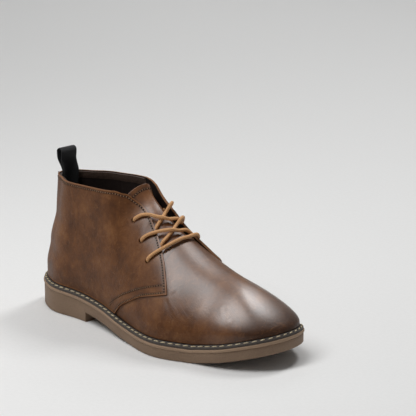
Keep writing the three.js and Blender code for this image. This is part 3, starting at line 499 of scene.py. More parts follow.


# %% [markdown]
# ## Leather
# The upper is smooth calf leather with a burnished finish: the maker rubs darker wax into the toe,
# the heel and the line along the welt, and the dye gathers in clouds and faint streaks. Up close there
# is a fine pebbled grain. Marks on the points say where the wax and the polish are, where painted shade
# darkens the stitch grooves, the throat's fold and the wrinkles, where painted shadow lies under the
# quarters' edges, and where the pale rim is, partly a burnished edge and partly a painted highlight.
# Object coordinates give the clouds and the grain.

# %% Leather finish
def leather(name, tone=1.0):
    board = Board(name)
    clouds = board.noise(42, 3, roughness=0.55)
    streaks = board.noise(120, 5, board.place((1, 1, 0.7), (0.4, 0.7, 0.3)), 0.68, 0.6)
    fine = board.noise(480, 3, roughness=0.65)
    cells = board.node("ShaderNodeTexVoronoi", {"feature": "DISTANCE_TO_EDGE"}, {
        "Vector": board.place(), "Scale": 800.0})
    pebbles = board.range(cells, 0.0, 0.22)
    tones = [(0.074, 0.0250, 0.0062), (0.110, 0.0385, 0.0098), (0.142, 0.0520, 0.0140),
             (0.205, 0.0850, 0.0270)]
    dark, body, warm, light = [tuple(c * tone for c in row) for row in tones]
    mix = (clouds * 0.62 + streaks * 0.38).clamped()
    colour = board.ramp(mix, (0.36, dark), (0.46, body), (0.54, warm), (0.66, light))
    burnish = board.mark("burnish")
    colour = board.blend(colour, (0.026, 0.0098, 0.0045), (burnish * (0.5 + 0.5 * clouds)).clamped())
    # Painted shade along the stitch grooves and the throat's fold, and painted shadow under the quarters' edges.
    seam = board.mark("seam")
    colour = board.blend(colour, (0.030, 0.0115, 0.0050), (seam * 0.6).clamped())
    across, along = board.mark("crease_u") * 46.0, board.mark("crease_v") * 16.0
    folds = board.noise(1.0, 3, board.node("ShaderNodeCombineXYZ", None, {"X": across, "Y": along}), 0.6)
    wrinkle = board.mark("wrinkle")
    # The wrinkles' folds are painted darker as shade.
    fold_shade = (wrinkle * board.range(folds, 0.36, 0.50, 0.25, 0.0)).clamped()
    colour = board.blend(colour, (0.050, 0.0180, 0.0065), fold_shade)
    scuffs = board.noise(230, 4, board.place((1, 0.45, 1), (0.2, 0.5, 0.6)), 0.7, 0.8)
    colour = board.blend(colour, (0.26, 0.115, 0.042), board.range(scuffs, 0.55, 0.72, 0.0, 0.4))
    # A paler rim along the quarters' edges: partly a burnished edge, partly a painted highlight on its rounding.
    colour = board.blend(colour, (0.30, 0.125, 0.045), (board.mark("rim") * 0.7).clamped())
    polish = board.mark("polish")
    roughness = (0.32 + 0.20 * streaks + 0.10 * fine - 0.08 * polish).clamped()
    height = pebbles * 0.6 + fine * 2.4 + scuffs * 3.0 + streaks * 3.0 - seam * 3.5 + folds * wrinkle * 5.0
    return board.surface(colour, roughness, height, 0.10, 0.01 + 0.75 * polish,
                         Specular_IOR_Level=0.25, Coat_Roughness=0.35, Coat_IOR=1.7)


leather_finish = leather("brown_leather")
# The tongue is the same leather, its colour painted lighter to stand in for the light on it.
lightened_tongue_finish = leather("tongue_leather", 1.25)

# %% [markdown]
# ## Cut edges, lining, thread and lace
# The raw edge of the leather shows its lighter orange-brown core. The lining is soft, nearly black
# calf. Thread is waxed and round, the laces are braided cord, and the loop is ribbed webbing.

# %% Small finishes
def grained(name, low, high, noise, roughness, depth, specular):
    """One noise gives the colour, the roughness and the relief."""
    board = Board(name)
    scale, detail, rough = noise
    grain = board.noise(scale, detail, roughness=rough)
    colour = board.ramp(grain, (0.3, low), (0.7, high))
    least, spread = roughness
    return board.surface(colour, least + spread * grain, grain, depth, Specular_IOR_Level=specular)


def lining():
    board = Board("lining_leather")
    grain = board.noise(500, 3, roughness=0.6)
    cloud = board.noise(35, 3)
    colour = board.ramp(cloud * 0.6 + grain * 0.4, (0.3, (0.012, 0.0078, 0.0068)), (0.7, (0.028, 0.0185, 0.0160)))
    return board.surface(colour, 0.50 + 0.15 * grain, grain, 0.12, Specular_IOR_Level=0.18)


PLY = (900, 2, 0.6)
edge_finish = grained("cut_edge", (0.13, 0.050, 0.018), (0.31, 0.140, 0.056), (700, 4, 0.7), (0.55, 0.2), 0.15, 0.35)
lining_finish = lining()
binding_finish = grained(
    "binding_leather", (0.040, 0.0240, 0.0180), (0.085, 0.0520, 0.0380), (600, 3, 0.6), (0.45, 0.15), 0.1, 0.4)
footbed_finish = grained(
    "footbed_leather", (0.020, 0.013, 0.010), (0.045, 0.030, 0.023), (600, 3, 0.5), (0.6, 0.2), 0.15, 0.35)
brown_thread = grained("brown_thread", (0.16, 0.085, 0.045), (0.42, 0.260, 0.150), PLY, (0.55, 0.15), 0.1, 0.25)
cream_thread = grained("cream_thread", (0.42, 0.33, 0.19), (0.78, 0.68, 0.46), PLY, (0.6, 0.15), 0.1, 0.25)
# The needle holes are dark blobs, painted shade for the holes.
hole_shade_finish = grained("needle_hole_shade", (0.004, 0.0025, 0.002), (0.008, 0.005, 0.004), PLY, (0.7, 0.15), 0.1, 0.25)

# %% [markdown]
# ## Rubber
# The sole is crepe-coloured rubber, matt and faintly mottled, a little paler where the moulding's lip
# catches the light, and the tread's grooves underneath are painted darker as shade. The welt is a darker
# strip with a ribbed face, its raised rows painted paler as a highlight.

# %% Rubber finishes
def rubber():
    board = Board("crepe_rubber")
    cloud = board.noise(30, 3)
    grain = board.noise(900, 3, roughness=0.6)
    colour = board.ramp(cloud * 0.5 + grain * 0.5, (0.3, (0.186, 0.118, 0.074)), (0.7, (0.265, 0.178, 0.115)))
    lip = board.mark("lip")
    colour = board.blend(colour, (0.34, 0.228, 0.147), (lip * 0.75).clamped())
    tread = board.mark("tread")
    bars = board.node("ShaderNodeTexWave", {"wave_type": "BANDS", "bands_direction": "X"}, {
        "Vector": board.place(), "Scale": 28.0, "Distortion": 0.0})
    # The tread's grooves are painted darker as shade.
    colour = board.blend(colour, (0.06, 0.042, 0.030), tread * board.range(bars, 0.55, 0.8))
    height = grain * 0.25 - tread * board.range(bars, 0.5, 0.75) * 6
    return board.surface(colour, 0.56 + 0.16 * grain, height, 0.2, Specular_IOR_Level=0.4)


def welt_rubber():
    board = Board("ribbed_rubber")
    grain = board.noise(800, 3, roughness=0.65)
    # The raised rows of the welt's section are painted paler, a painted highlight.
    rib = board.mark("rib")
    colour = board.ramp(grain, (0.3, (0.018, 0.014, 0.012)), (0.7, (0.042, 0.034, 0.029)))
    colour = board.blend(colour, (0.105, 0.085, 0.072), (rib * 0.8).clamped())
    return board.surface(colour, 0.5 + 0.2 * grain, grain, 0.15, Specular_IOR_Level=0.45)


rubber_finish, welt_finish = rubber(), welt_rubber()

# %% [markdown]
# ## Outsole
# Sole and heel are one moulding. Its section is swept round the outline: a rounded bottom edge, a
# plain wall, a shallow step and a rounded lip under the welt. Each ring of points is closed by rows
# that run in to the spine, so the underside can rise behind the heel and at the toe.

# %% Outsole
def ring_places(step):
    places = np.arange(0, 1 + step / 2, step)
    return np.r_[places, 2 - places[-2:0:-1]]


def stacked(name, rings, levels, materials, marks=None, bevel=0.0, sharp=40):
    """Rings of points, one for each level. A level is a share of the way out, an inset and a height."""
    columns = len(rings)
    x0, y0, _, _ = spine_at(rings)
    points = []
    for share, inset, height in levels:
        x, y = outline_at(rings, inset)
        x, y = x0 + share * (x - x0), y0 + share * (y - y0)
        points.append(np.stack([x, y, height(x, rings) + 0 * x], -1))
    points = np.array(points)
    rows = len(levels)
    number = np.arange(rows * columns).reshape(rows, columns)
    after = np.roll(number, -1, 1)
    faces = np.stack([number[:-1], after[:-1], after[1:], number[1:]], -1).reshape(-1, 4)
    values = {k: np.repeat(np.asarray(v, float), columns) for k, v in (marks or {}).items()}
    kinds = np.zeros(len(faces), int)
    return make_piece(name, points.reshape(-1, 3), list(faces), kinds, materials, values, sharp, bevel)


def over_top(offset):
    """A level's height, so far above the sole's top."""
    return lambda x, ring: sole_top_at(x) + offset


breast = HEEL_SIDE + (HEEL_LENGTH - HEEL_CENTRE) / (TOE_CENTRE - HEEL_CENTRE) * (TOE_ROOT - HEEL_SIDE)
sole_rings = np.arange(0, 1.0001, 1 / 220)
sole_rings = np.sort(np.r_[sole_rings[np.abs(sole_rings - breast) > 0.003], breast, breast + 0.0006])
sole_rings = np.r_[sole_rings, 2 - sole_rings[-2:0:-1]]


def floor_height(x, ring):
    return np.where(place_of(ring) <= breast + 0.0003, 0, underside_at(x))


LIP_HEIGHT, OVERHANG, LIP_ROUND, TREAD_EDGE = 3.0, 0.7, 0.8, 1.5
sole_levels = [(s, OVERHANG + TREAD_EDGE, floor_height) for s in (0, 0.25, 0.5, 0.75, 0.9, 1.0)]
for k in range(1, 5):
    a = k / 4 * math.pi / 2
    rise, run = TREAD_EDGE * (1 - math.cos(a)), TREAD_EDGE * (1 - math.sin(a))
    sole_levels.append((1, OVERHANG + run, lambda x, ring, rise=rise: floor_height(x, ring) + rise))
sole_levels.append((1, OVERHANG, lambda x, ring: (floor_height(x, ring) + sole_top_at(x)) / 2))
sole_levels += [(1, OVERHANG, over_top(-LIP_HEIGHT - 0.5)), (1, OVERHANG + 0.25, over_top(-LIP_HEIGHT))]
for base, start in ((0.3 - LIP_HEIGHT + LIP_ROUND, -math.pi / 2), (-LIP_ROUND, 0.0)):
    for k in range(5):
        a = start + k / 4 * math.pi / 2
        sole_levels.append((1, LIP_ROUND * (1 - math.cos(a)), over_top(base + LIP_ROUND * math.sin(a))))
sole_levels += [(share, 6.0, over_top(0)) for share in (1, 0)]
lip_mark = [0] * 13 + [0.4, 0.8, 1, 1, 1] + [1, 1, 1, 1, 1] + [0, 0]
tread_mark = [1] * 5 + [0] * (len(sole_levels) - 5)
outsole = stacked("outsole_rubber", sole_rings, sole_levels, [rubber_finish],
                  {"lip": lip_mark, "tread": tread_mark}, sharp=50)

# %% [markdown]
# ## Welt
# The welt is a strip glued on the sole's ledge, with a channel for its stitches and a low rib against
# the upper. The section is a short table of insets, heights and a painted highlight that makes the raised
# rows paler, rounded by small steps.

# %% Welt
# Each row: inset, height, and how much painted highlight it gets.
WELT_SECTION = [
    (0.9, GAP, 0.3), (0.9, 1.7, 0.5), (1.05, 2.35, 0.8), (1.35, 2.7, 1.0), (1.65, 2.65, 0.7),
    (1.9, 2.3, 0.1), (2.2, 2.15, 0), (2.6, 2.3, 0), (2.85, 2.75, 0.3), (3.1, 3.3, 0.7),
    (3.4, 3.6, 0.8), (3.8, 3.6, 0.4), (4.4, 3.3, 0), (8.0, 3.3, 0), (8.0, GAP, 0)]
welt_rings = ring_places(1 / 200)


def swept(name, rings, section, materials, mark):
    columns = len(rings)
    points = []
    for inset, height, _ in section:
        x, y = outline_at(rings, inset)
        points.append(np.stack([x, y, sole_top_at(outline_at(rings, inset)[0]) + height], -1))
    rows = len(section)
    number = np.arange(rows * columns).reshape(rows, columns)
    after, above = np.roll(number, -1, 1), np.roll(number, -1, 0)
    faces = np.stack([number, after, np.roll(after, -1, 0), above], -1).reshape(-1, 4)
    values = {mark: np.repeat([row[2] for row in section], columns)}
    return make_piece(name, np.concatenate(points), list(faces), np.zeros(len(faces), int), materials, values, 55)


welt = swept("welt_strip", welt_rings, WELT_SECTION, [welt_finish], "rib")

# %% [markdown]
# ## Rows of stitches
# A seam is a line of short stitches at an even pitch. Geometry Nodes place them: the seam's line is
# divided by the pitch, a rounded stitch is put on each point, turned along the seam and up from the
# leather, and a dark blob, painted shade for the needle hole, sits between two stitches. Sizes are named inputs of the
# tree.

# %% Stitch tree
def stitch_tree():
    tree = bpy.data.node_groups.new("stitch_row", "GeometryNodeTree")
    sockets = {}
    for name, kind in (
            ("Seam", "Geometry"), ("Pitch", "Float"), ("Length", "Float"), ("Thickness", "Float"),
            ("Tilt", "Float"), ("Hole", "Float"), ("Seed", "Int"), ("Thread", "Material"), ("Dark", "Material")):
        sockets[name] = tree.interface.new_socket(name, in_out="INPUT", socket_type="NodeSocket" + kind)
    tree.interface.new_socket("Stitches", in_out="OUTPUT", socket_type="NodeSocketGeometry")

    def node(kind, settings=None, values=None):
        made = tree.nodes.new(kind)
        for key, value in (settings or {}).items():
            setattr(made, key, value)
        for key, value in (values or {}).items():
            if isinstance(value, bpy.types.NodeSocket):
                tree.links.new(value, made.inputs[key])
            else:
                made.inputs[key].default_value = value
        return made

    given = node("NodeGroupInput").outputs
    curve = node("GeometryNodeMeshToCurve", None, {"Mesh": given["Seam"]})
    points = node("GeometryNodeResampleCurve", {"mode": "LENGTH"}, {
        "Curve": curve.outputs[0], "Length": given["Pitch"]})
    tangent = node("GeometryNodeInputTangent")
    along = node("FunctionNodeAlignRotationToVector", {"axis": "X"}, {"Vector": tangent.outputs[0]})
    up_mark = node("GeometryNodeInputNamedAttribute", {"data_type": "FLOAT_VECTOR"}, {"Name": "up"})
    turned = node("FunctionNodeAlignRotationToVector", {"axis": "Z", "pivot_axis": "X"}, {
        "Rotation": along.outputs[0], "Vector": up_mark.outputs["Attribute"]})
    wobble = node("FunctionNodeRandomValue", {"data_type": "FLOAT"}, {"Seed": given["Seed"]})
    wobble.inputs[2].default_value, wobble.inputs[3].default_value = -0.06, 0.06
    tilt = node("ShaderNodeMath", {"operation": "ADD"}, {0: given["Tilt"], 1: wobble.outputs[1]})
    angles = node("ShaderNodeCombineXYZ", None, {"Z": tilt.outputs[0]})
    to_rotation = node("FunctionNodeEulerToRotation", None, {0: angles.outputs[0]})
    rotation = node("FunctionNodeRotateRotation", {"rotation_space": "LOCAL"}, {
        "Rotation": turned.outputs[0], "Rotate By": to_rotation.outputs[0]})
    ball = node("GeometryNodeMeshUVSphere", None, {"Segments": 8, "Rings": 6, "Radius": 0.5})
    size = node("ShaderNodeCombineXYZ", None, {"X": given["Length"], "Y": given["Thickness"], "Z": given["Thickness"]})
    stitch = node("GeometryNodeTransform", None, {"Geometry": ball.outputs[0], "Scale": size.outputs[0]})
    smoothed = node("GeometryNodeSetShadeSmooth", None, {"Geometry": stitch.outputs[0]})
    placed = node("GeometryNodeInstanceOnPoints", None, {
        "Points": points.outputs[0], "Instance": smoothed.outputs[0], "Rotation": rotation.outputs[0]})
    real = node("GeometryNodeRealizeInstances", None, {"Geometry": placed.outputs[0]})
    threads = node("GeometryNodeSetMaterial", None, {"Geometry": real.outputs[0], "Material": given["Thread"]})
    half = node("ShaderNodeMath", {"operation": "MULTIPLY"}, {0: given["Pitch"], 1: 0.5})
    step = node("ShaderNodeVectorMath", {"operation": "SCALE"}, {0: tangent.outputs[0], "Scale": half.outputs[0]})
    moved = node("GeometryNodeSetPosition", None, {"Geometry": points.outputs[0], "Offset": step.outputs[0]})
    # A flattened dark blob between stitches, painted shade for the needle hole.
    dot = node("GeometryNodeMeshUVSphere", None, {"Segments": 8, "Rings": 4, "Radius": 0.5})
    dot_size = node("ShaderNodeCombineXYZ", None, {"X": given["Hole"], "Y": given["Hole"], "Z": given["Thickness"]})
    hole = node("GeometryNodeTransform", None, {"Geometry": dot.outputs[0], "Scale": dot_size.outputs[0]})
    hole_smooth = node("GeometryNodeSetShadeSmooth", None, {"Geometry": hole.outputs[0]})
    holes = node("GeometryNodeInstanceOnPoints", None, {
        "Points": moved.outputs[0], "Instance": hole_smooth.outputs[0], "Rotation": turned.outputs[0]})
    real_holes = node("GeometryNodeRealizeInstances", None, {"Geometry": holes.outputs[0]})
    dark = node("GeometryNodeSetMaterial", None, {"Geometry": real_holes.outputs[0], "Material": given["Dark"]})
    joined = node("GeometryNodeJoinGeometry")
    tree.links.new(threads.outputs[0], joined.inputs[0])
    tree.links.new(dark.outputs[0], joined.inputs[0])
    result = node("NodeGroupOutput")
    tree.links.new(joined.outputs[0], result.inputs[0])
    return tree, {name: socket.identifier for name, socket in sockets.items()}


stitch_nodes, stitch_inputs = stitch_tree()


def stitch_piece(name, seams, pitch, length, thickness, material, tilt=0.0, hole=0.0, seed=1):
    """Seams are pairs of a line and its upward directions, in millimetres."""
    mesh = bpy.data.meshes.new(name + "_line")
    points, ups, edges, count = [], [], [], 0
    for line, upward in seams:
        points.append(to_frame(line))
        ups.append(upward)
        edges += [(count + i, count + i + 1) for i in range(len(line) - 1)]
        count += len(line)
    mesh.from_pydata(np.concatenate(points).tolist(), edges, [])
    layer = mesh.attributes.new("up", "FLOAT_VECTOR", "POINT")
    layer.data.foreach_set("vector", np.concatenate(ups).astype(np.float32).ravel())
    guide = bpy.data.objects.new(name + "_line", mesh)
    bpy.context.scene.collection.objects.link(guide)
    rows = guide.modifiers.new("stitches", "NODES")
    rows.node_group = stitch_nodes
    given = {"Pitch": pitch / 1000, "Length": length / 1000, "Thickness": thickness / 1000, "Tilt": tilt,
             "Hole": hole / 1000, "Seed": seed, "Thread": material, "Dark": hole_shade_finish}
    for key, value in given.items():
        rows[stitch_inputs[key]] = value
    bpy.context.view_layer.update()
    evaluated = guide.evaluated_get(bpy.context.evaluated_depsgraph_get())
    plain = bpy.data.meshes.new_from_object(evaluated)
    plain.name = name
    shape = bmesh.new()
    shape.from_mesh(plain)
    flat = [face for face in shape.faces if face.calc_area() < 1e-14]
    bmesh.ops.delete(shape, geom=flat, context="FACES_ONLY")
    bmesh.ops.delete(shape, geom=[vert for vert in shape.verts if not vert.link_faces], context="VERTS")
    shape.to_mesh(plain)
    shape.free()
    slots = np.zeros(len(plain.polygons), np.int32)
    plain.polygons.foreach_get("material_index", slots)
    filled = [i for i, m in enumerate(plain.materials) if m is not None and (slots == i).any()]
    kept = [plain.materials[i] for i in filled]
    plain.materials.clear()
    for m in kept:
        plain.materials.append(m)
    plain.polygons.foreach_set("material_index", np.searchsorted(filled, slots).astype(np.int32))
    bpy.data.objects.remove(guide)
    bpy.data.meshes.remove(mesh)
    made = bpy.data.objects.new(name, plain)
    bpy.context.scene.collection.objects.link(made)
    print(name, len(plain.polygons), "faces,", [m.name for m in plain.materials])
    return made


# %% Welt stitches
channel = ring_places(1 / 400)
x, y = outline_at(channel, 2.2)
welt_line = np.stack([x, y, sole_top_at(x) + 2.75], -1)
welt_line = np.concatenate([welt_line, welt_line[:1]])
welt_up = np.tile([0.0, 0.0, 1.0], (len(welt_line), 1))
welt_stitches = stitch_piece("welt_stitches", [(welt_line, welt_up)], 7.2, 5.0, 1.15, cream_thread, tilt=0.22, seed=3)

# %% [markdown]
# ## Vamp
# The vamp is the front of the upper: one piece of leather from the welt over the toes, with its ends
# under the quarters. It creases across the ball of the foot where the shoe bends, and a few short
# wrinkles run down behind the toe. The creases are pressed into the mesh along lines on the last.

# %% Vamp
CREASES = [
    ([(0.640, 0.44), (0.655, 0.385), (0.668, 0.345), (0.688, 0.287), (0.712, 0.227), (0.728, 0.17)], 0.12, 1.6),
    ([(0.646, 0.47), (0.662, 0.415), (0.680, 0.365), (0.702, 0.315), (0.722, 0.262)], 0.10, 1.5),
    ([(0.632, 0.36), (0.646, 0.315), (0.664, 0.262), (0.684, 0.205)], 0.10, 1.5),
    ([(0.806, 0.50), (0.818, 0.44), (0.834, 0.37)], 0.08, 1.6),
]


def lines_on_last(rows, d=0.0, step=1.0):
    rows = np.asarray(rows, float)
    fine = even_line(rows * [300, 120], 2) / [300, 120]
    return skin_point(fine[:, 0], fine[:, 1], np.full(len(fine), d))


def crease_depth(points):
    depth = np.zeros(points.shape[:-1])
    for rows, deep, wide in CREASES:
        for sign, ring_rows in ((1, rows), (-1, [(2 - r, t) for r, t in rows])):
            line = lines_on_last(ring_rows)
            d = distance_to(points, line)
            fade = 1.0 if sign > 0 else 0.8
            depth += fade * deep * (np.exp(-(d / wide) ** 2) - 0.55 * np.exp(-((d - 2.2 * wide) / (1.2 * wide)) ** 2))
    return depth


def burnish_of(points, ring):
    x, z = points[..., 0], points[..., 2]
    welt_top = sole_top_at(x) + WELT_HEIGHT
    low = np.exp(-np.maximum(0, z - welt_top) / 7.0)
    toe = smooth(x, 262, 292) * 0.85
    heel = smooth(-x, -42, 4) * 0.35 * smooth(-z, -70, -20)
    return np.clip(0.40 * low + toe + heel, 0, 1)


vamp_places = np.r_[np.linspace(0.36, 0.545, 60), np.linspace(VAMP_EDGE, 1.0, 190)]
vamp_rings = np.r_[vamp_places, 2 - vamp_places[-2::-1]]
LOW_ROWS, HIGH_ROWS = 44, 34
edge_turn = np.minimum(turn_at_height(vamp_rings, COLLAR_HEIGHT - 1.5), throat_turn(place_of(vamp_rings)))
low_rows = np.linspace(0, 1, LOW_ROWS + 1)[:, None] * edge_turn
high_rows = edge_turn + np.linspace(0, 1, HIGH_ROWS + 1)[1:, None] * (1 - edge_turn)
vamp_turns = np.vstack([low_rows, high_rows])
vamp_grid = np.broadcast_to(vamp_rings, vamp_turns.shape)
vamp_skin = skin_point(vamp_grid, vamp_turns, np.zeros(vamp_turns.shape))
vamp_depth = crease_depth(vamp_skin)
vamp_outer = skin_point(vamp_grid, vamp_turns, -vamp_depth)
vamp_inner = skin_point(vamp_grid, vamp_turns, np.full(vamp_turns.shape, -1.1))
ahead = place_of(vamp_rings) >= VAMP_EDGE - 1e-9
forefoot = ahead[:-1] & ahead[1:]
vamp_keep = np.ones((LOW_ROWS + HIGH_ROWS, len(vamp_rings) - 1), bool)
vamp_keep[LOW_ROWS:] = forefoot
# Painted shadow on the vamp under the quarters' edges, and painted shade in the throat's fold.
edge_shade = np.full(vamp_turns.shape, 1e9)
for rows, side in ((OUTER_FRONT[:6], 1), (OUTER_LOWER, 1), (INNER_FRONT[:6], -1), (INNER_LOWER, -1)):
    line = lines_on_last(rows * [side, 1])
    edge_shade = np.minimum(edge_shade, distance_to(vamp_skin, line))
for side in (1, -1):
    fold = skin_point(np.full(40, 0.567 * side), np.linspace(0.64, 1, 40), np.zeros(40))
    edge_shade = np.minimum(edge_shade, distance_to(vamp_skin, fold) * 1.5)
wrinkled = np.exp(-(((place_of(vamp_grid) - 0.67) / 0.05) ** 2 + ((vamp_turns - 0.34) / 0.16) ** 2))
wrinkled += 0.8 * np.exp(-(((place_of(vamp_grid) - 0.825) / 0.04) ** 2 + ((vamp_turns - 0.42) / 0.12) ** 2))
vamp_x, vamp_y = vamp_skin[..., 0], vamp_skin[..., 1]
vamp_polish = smooth(last_normal(vamp_grid, vamp_turns)[..., 2], 0.22, 0.74)
vamp_polish *= (1 - 0.7 * smooth(vamp_x, 276, 294)) * (1 - 0.6 * smooth(vamp_y, -12, 3) * (1 - smooth(vamp_x, 228, 256)))
vamp_polish += 0.4 * smooth(vamp_x, 235, 255) * (1 - smooth(vamp_x, 270, 288))
vamp_marks = {
    "burnish": burnish_of(vamp_skin, vamp_grid), "seam": 0.9 * np.exp(-(edge_shade / 1.5) ** 2),
    "wrinkle": wrinkled, "polish": vamp_polish,
    "crease_u": vamp_turns + 2.65 * place_of(vamp_grid), "crease_v": place_of(vamp_grid)}
vamp = sheet("vamp", vamp_outer, vamp_inner, [leather_finish, lining_finish, edge_finish], vamp_keep,
             welded=forefoot, marks=vamp_marks, sharp=50)
throat_places = np.r_[np.full(40, 0.555), np.full(24, -0.555)]
throat_turns = np.r_[np.linspace(0.69, 1, 40), np.linspace(1, 0.80, 25)[1:]]
throat_line = skin_point(throat_places, throat_turns, np.full(64, 0.05))
throat_up = last_normal(throat_places, throat_turns)
SEAM = {"pitch": 2.6, "length": 1.4, "thickness": 0.8, "material": brown_thread, "hole": 1.35}
vamp_stitches = stitch_piece("vamp_stitches", [(throat_line, throat_up)], seed=5, **SEAM)

# %% [markdown]
# ## Quarters
# The quarters wrap the heel and carry the eyelets. Their places are blended between the two front
# edges, the collar and the lower edges, so the grid follows every edge of the pattern. The inner
# flap stands off the tongue. The eyelets are real holes: cells are left out, and the points round
# each hole are moved onto its circle.

# %% Quarters
COLLAR_LINE = open_curve([-0.376, -0.35, -0.30, -0.2, -0.1, 0, 0.1, 0.2, 0.30, 0.375],
                         [130.4, 131.0, 130.2, 127.0, 125.6, 126, 126.6, 127, 127.6, 128.2])
FLAP_LIFTS = open_curve([0.33, 0.36, 0.376, 0.393, 0.41, 0.43, 0.454, 0.481, 0.50, 0.52, 0.585, 0.62, 0.65],
                        [0, 0.9, 2.6, 5.0, 6.2, 6.1, 4.9, 4.2, 3.2, 2.5, 1.5, 0.4, 0.0])
FLAP_EDGE = open_curve([0.33, 0.376, 0.393, 0.41, 0.43, 0.454, 0.481, 0.52, 0.585, 0.65],
                       [0.55, 0.60, 0.69, 0.75, 0.80, 0.825, 0.82, 0.80, 0.76, 0.71])


def flap_lift(ring, turn):
    place = np.clip(place_of(ring), 0.33, 0.65)
    across = smooth(turn, throat_turn(place) - 0.05, FLAP_EDGE(place))
    lift = FLAP_LIFTS(place) * across
    return np.where(is_inner(ring), lift, 0)


def evenly(spots, count):
    """The same line of rings and turns with an even spacing on the leather."""
    spots = np.asarray(spots, float) * [430, 150]
    run = np.r_[0, np.cumsum(np.linalg.norm(np.diff(spots, axis=0), axis=1))]
    at = np.linspace(0, run[-1], count + 1)
    return [open_curve(run, spots[:, k])(at) / (430, 150)[k] for k in (0, 1)]


def edge_spots(table, side, count):
    return evenly(table * [-side, 1], count)


def top_edge(count):
    ring = np.linspace(-0.36, 0.36, 49)
    collar = np.stack([ring, turn_at_height(ring, COLLAR_LINE(ring))], -1)
    return evenly(np.concatenate([INNER_TOP * [-1, 1], collar, OUTER_TOP[::-1]]), count)


def foot_height(ring):
    return last_point(ring, 0 * np.asarray(ring, float))[..., 2]


def quarter_grid(rows, columns):
    edge = int(round(columns * 0.2))
    left, right = edge_spots(INNER_FRONT, 1, rows), edge_spots(OUTER_FRONT, -1, rows)
    low_left, low_right = edge_spots(INNER_LOWER, 1, edge), edge_spots(OUTER_LOWER, -1, edge)
    foot = OUTER_LOWER[-1, 0]
    between = np.linspace(-foot, foot, columns - 2 * edge + 1)
    bottom_ring = np.r_[low_left[0][:-1], between, low_right[0][::-1][1:]]
    bottom_turn = np.r_[low_left[1][:-1], 0 * between, low_right[1][::-1][1:]]
    top_ring, top_turn = top_edge(columns)
    v, h = np.linspace(0, 1, rows + 1)[:, None], np.linspace(0, 1, columns + 1)[None, :]

    def patch(bottom, top, first, last):
        first, last = first[:, None], last[:, None]
        return ((1 - v) * bottom + v * top + (1 - h) * first + h * last
                - (1 - v) * ((1 - h) * bottom[0] + h * bottom[-1]) - v * ((1 - h) * top[0] + h * top[-1]))

    ring = patch(bottom_ring, top_ring, left[0], right[0])
    turn = patch(bottom_turn, top_turn, left[1], right[1])
    return ring, np.clip(turn, 0, 1)


QUARTER_ROWS, QUARTER_COLUMNS = 96, 340
quarter_ring, quarter_turn = quarter_grid(QUARTER_ROWS, QUARTER_COLUMNS)
quarter_place = place_of(quarter_ring)
quarter_lift = flap_lift(quarter_ring, quarter_turn)
is_free = smooth(quarter_turn, throat_turn(quarter_place) - 0.06, throat_turn(quarter_place)) * smooth(quarter_place, 0.33, 0.36)
quarter_skin = skin_point(quarter_ring, quarter_turn, quarter_lift)
quarter_outer = skin_point(quarter_ring, quarter_turn, QUARTER_WALL + quarter_lift)
quarter_inner = skin_point(quarter_ring, quarter_turn, quarter_lift + 0.06 - 0.5 * is_free)
collar_heights = quarter_outer[-1, :, 2]
print("quarters", quarter_outer.shape, "top from", collar_heights.min().round(1), "to", collar_heights.max().round(1))

# %% Seams on the quarters
LOWER_ROW = [(0.612, 0.406), (0.587, 0.36), (0.537, 0.272), (0.48, 0.164), (0.438, 0.089), (0.409, 0.024)]
UPPER_ROW = [(0.602, 0.46), (0.578, 0.41), (0.547, 0.348), (0.511, 0.279), (0.474, 0.208), (0.434, 0.138),
             (0.402, 0.075), (0.381, 0.027)]
INNER_LOWER_ROW = [(0.622, 0.695), (0.614, 0.60), (0.592, 0.485), (0.554, 0.35), (0.492, 0.19),
                   (0.434, 0.075), (0.406, 0.02)]
INNER_UPPER_ROW = [(0.592, 0.735), (0.586, 0.62), (0.565, 0.51), (0.528, 0.385), (0.468, 0.23),
                   (0.412, 0.11), (0.381, 0.03)]


def edge_line(which, inset_mm):
    """A line inside an edge of the quarters, found by walking in from it over the grid's surface."""
    if which == "collar":
        points, inward = quarter_outer[-1], quarter_outer[-3] - quarter_outer[-1]
        normal = unit(quarter_outer[-1] - quarter_inner[-1])
    else:
        column, step = (0, 2) if which == "left" else (-1, -3)
        points, inward = quarter_outer[:, column], quarter_outer[:, step] - quarter_outer[:, column]
        normal = unit(quarter_outer[:, column] - quarter_inner[:, column])
    along = np.gradient(points, axis=0)
    inward = inward - unit(along) * (inward * unit(along)).sum(-1, keepdims=True)
    return points + unit(inward) * inset_mm, normal


def row_on_quarter(rows, side, d):
    rows = np.asarray(rows, float)
    if side > 0:
        rows = np.stack([2 - rows[:, 0], rows[:, 1]], -1)
    fine = even_line(rows * [300, 120], 2) / [300, 120]
    lift = flap_lift(fine[:, 0], fine[:, 1])
    return skin_point(fine[:, 0], fine[:, 1], QUARTER_WALL + d + lift), last_normal(fine[:, 0], fine[:, 1])


quarter_seams = [row_on_quarter(rows, side, 0.0) for rows, side in (
    (LOWER_ROW, -1), (UPPER_ROW, -1), (INNER_LOWER_ROW, 1), (INNER_UPPER_ROW, 1))]
for which in ("left", "right"):
    line, normal = edge_line(which, 2.2)
    quarter_seams.append((line[2:-1], normal[2:-1]))
collar_line, collar_normal = edge_line("collar", 2.4)
quarter_seams.append((collar_line[2:-2], collar_normal[2:-2]))
# Painted shade along the grooves of the quarters' stitch rows.
near = np.full(quarter_outer.shape[:2], 1e9)
for line, _ in quarter_seams:
    near = np.minimum(near, distance_to(quarter_outer, line))
seam_shade_mark = np.exp(-(near / 1.15) ** 2)

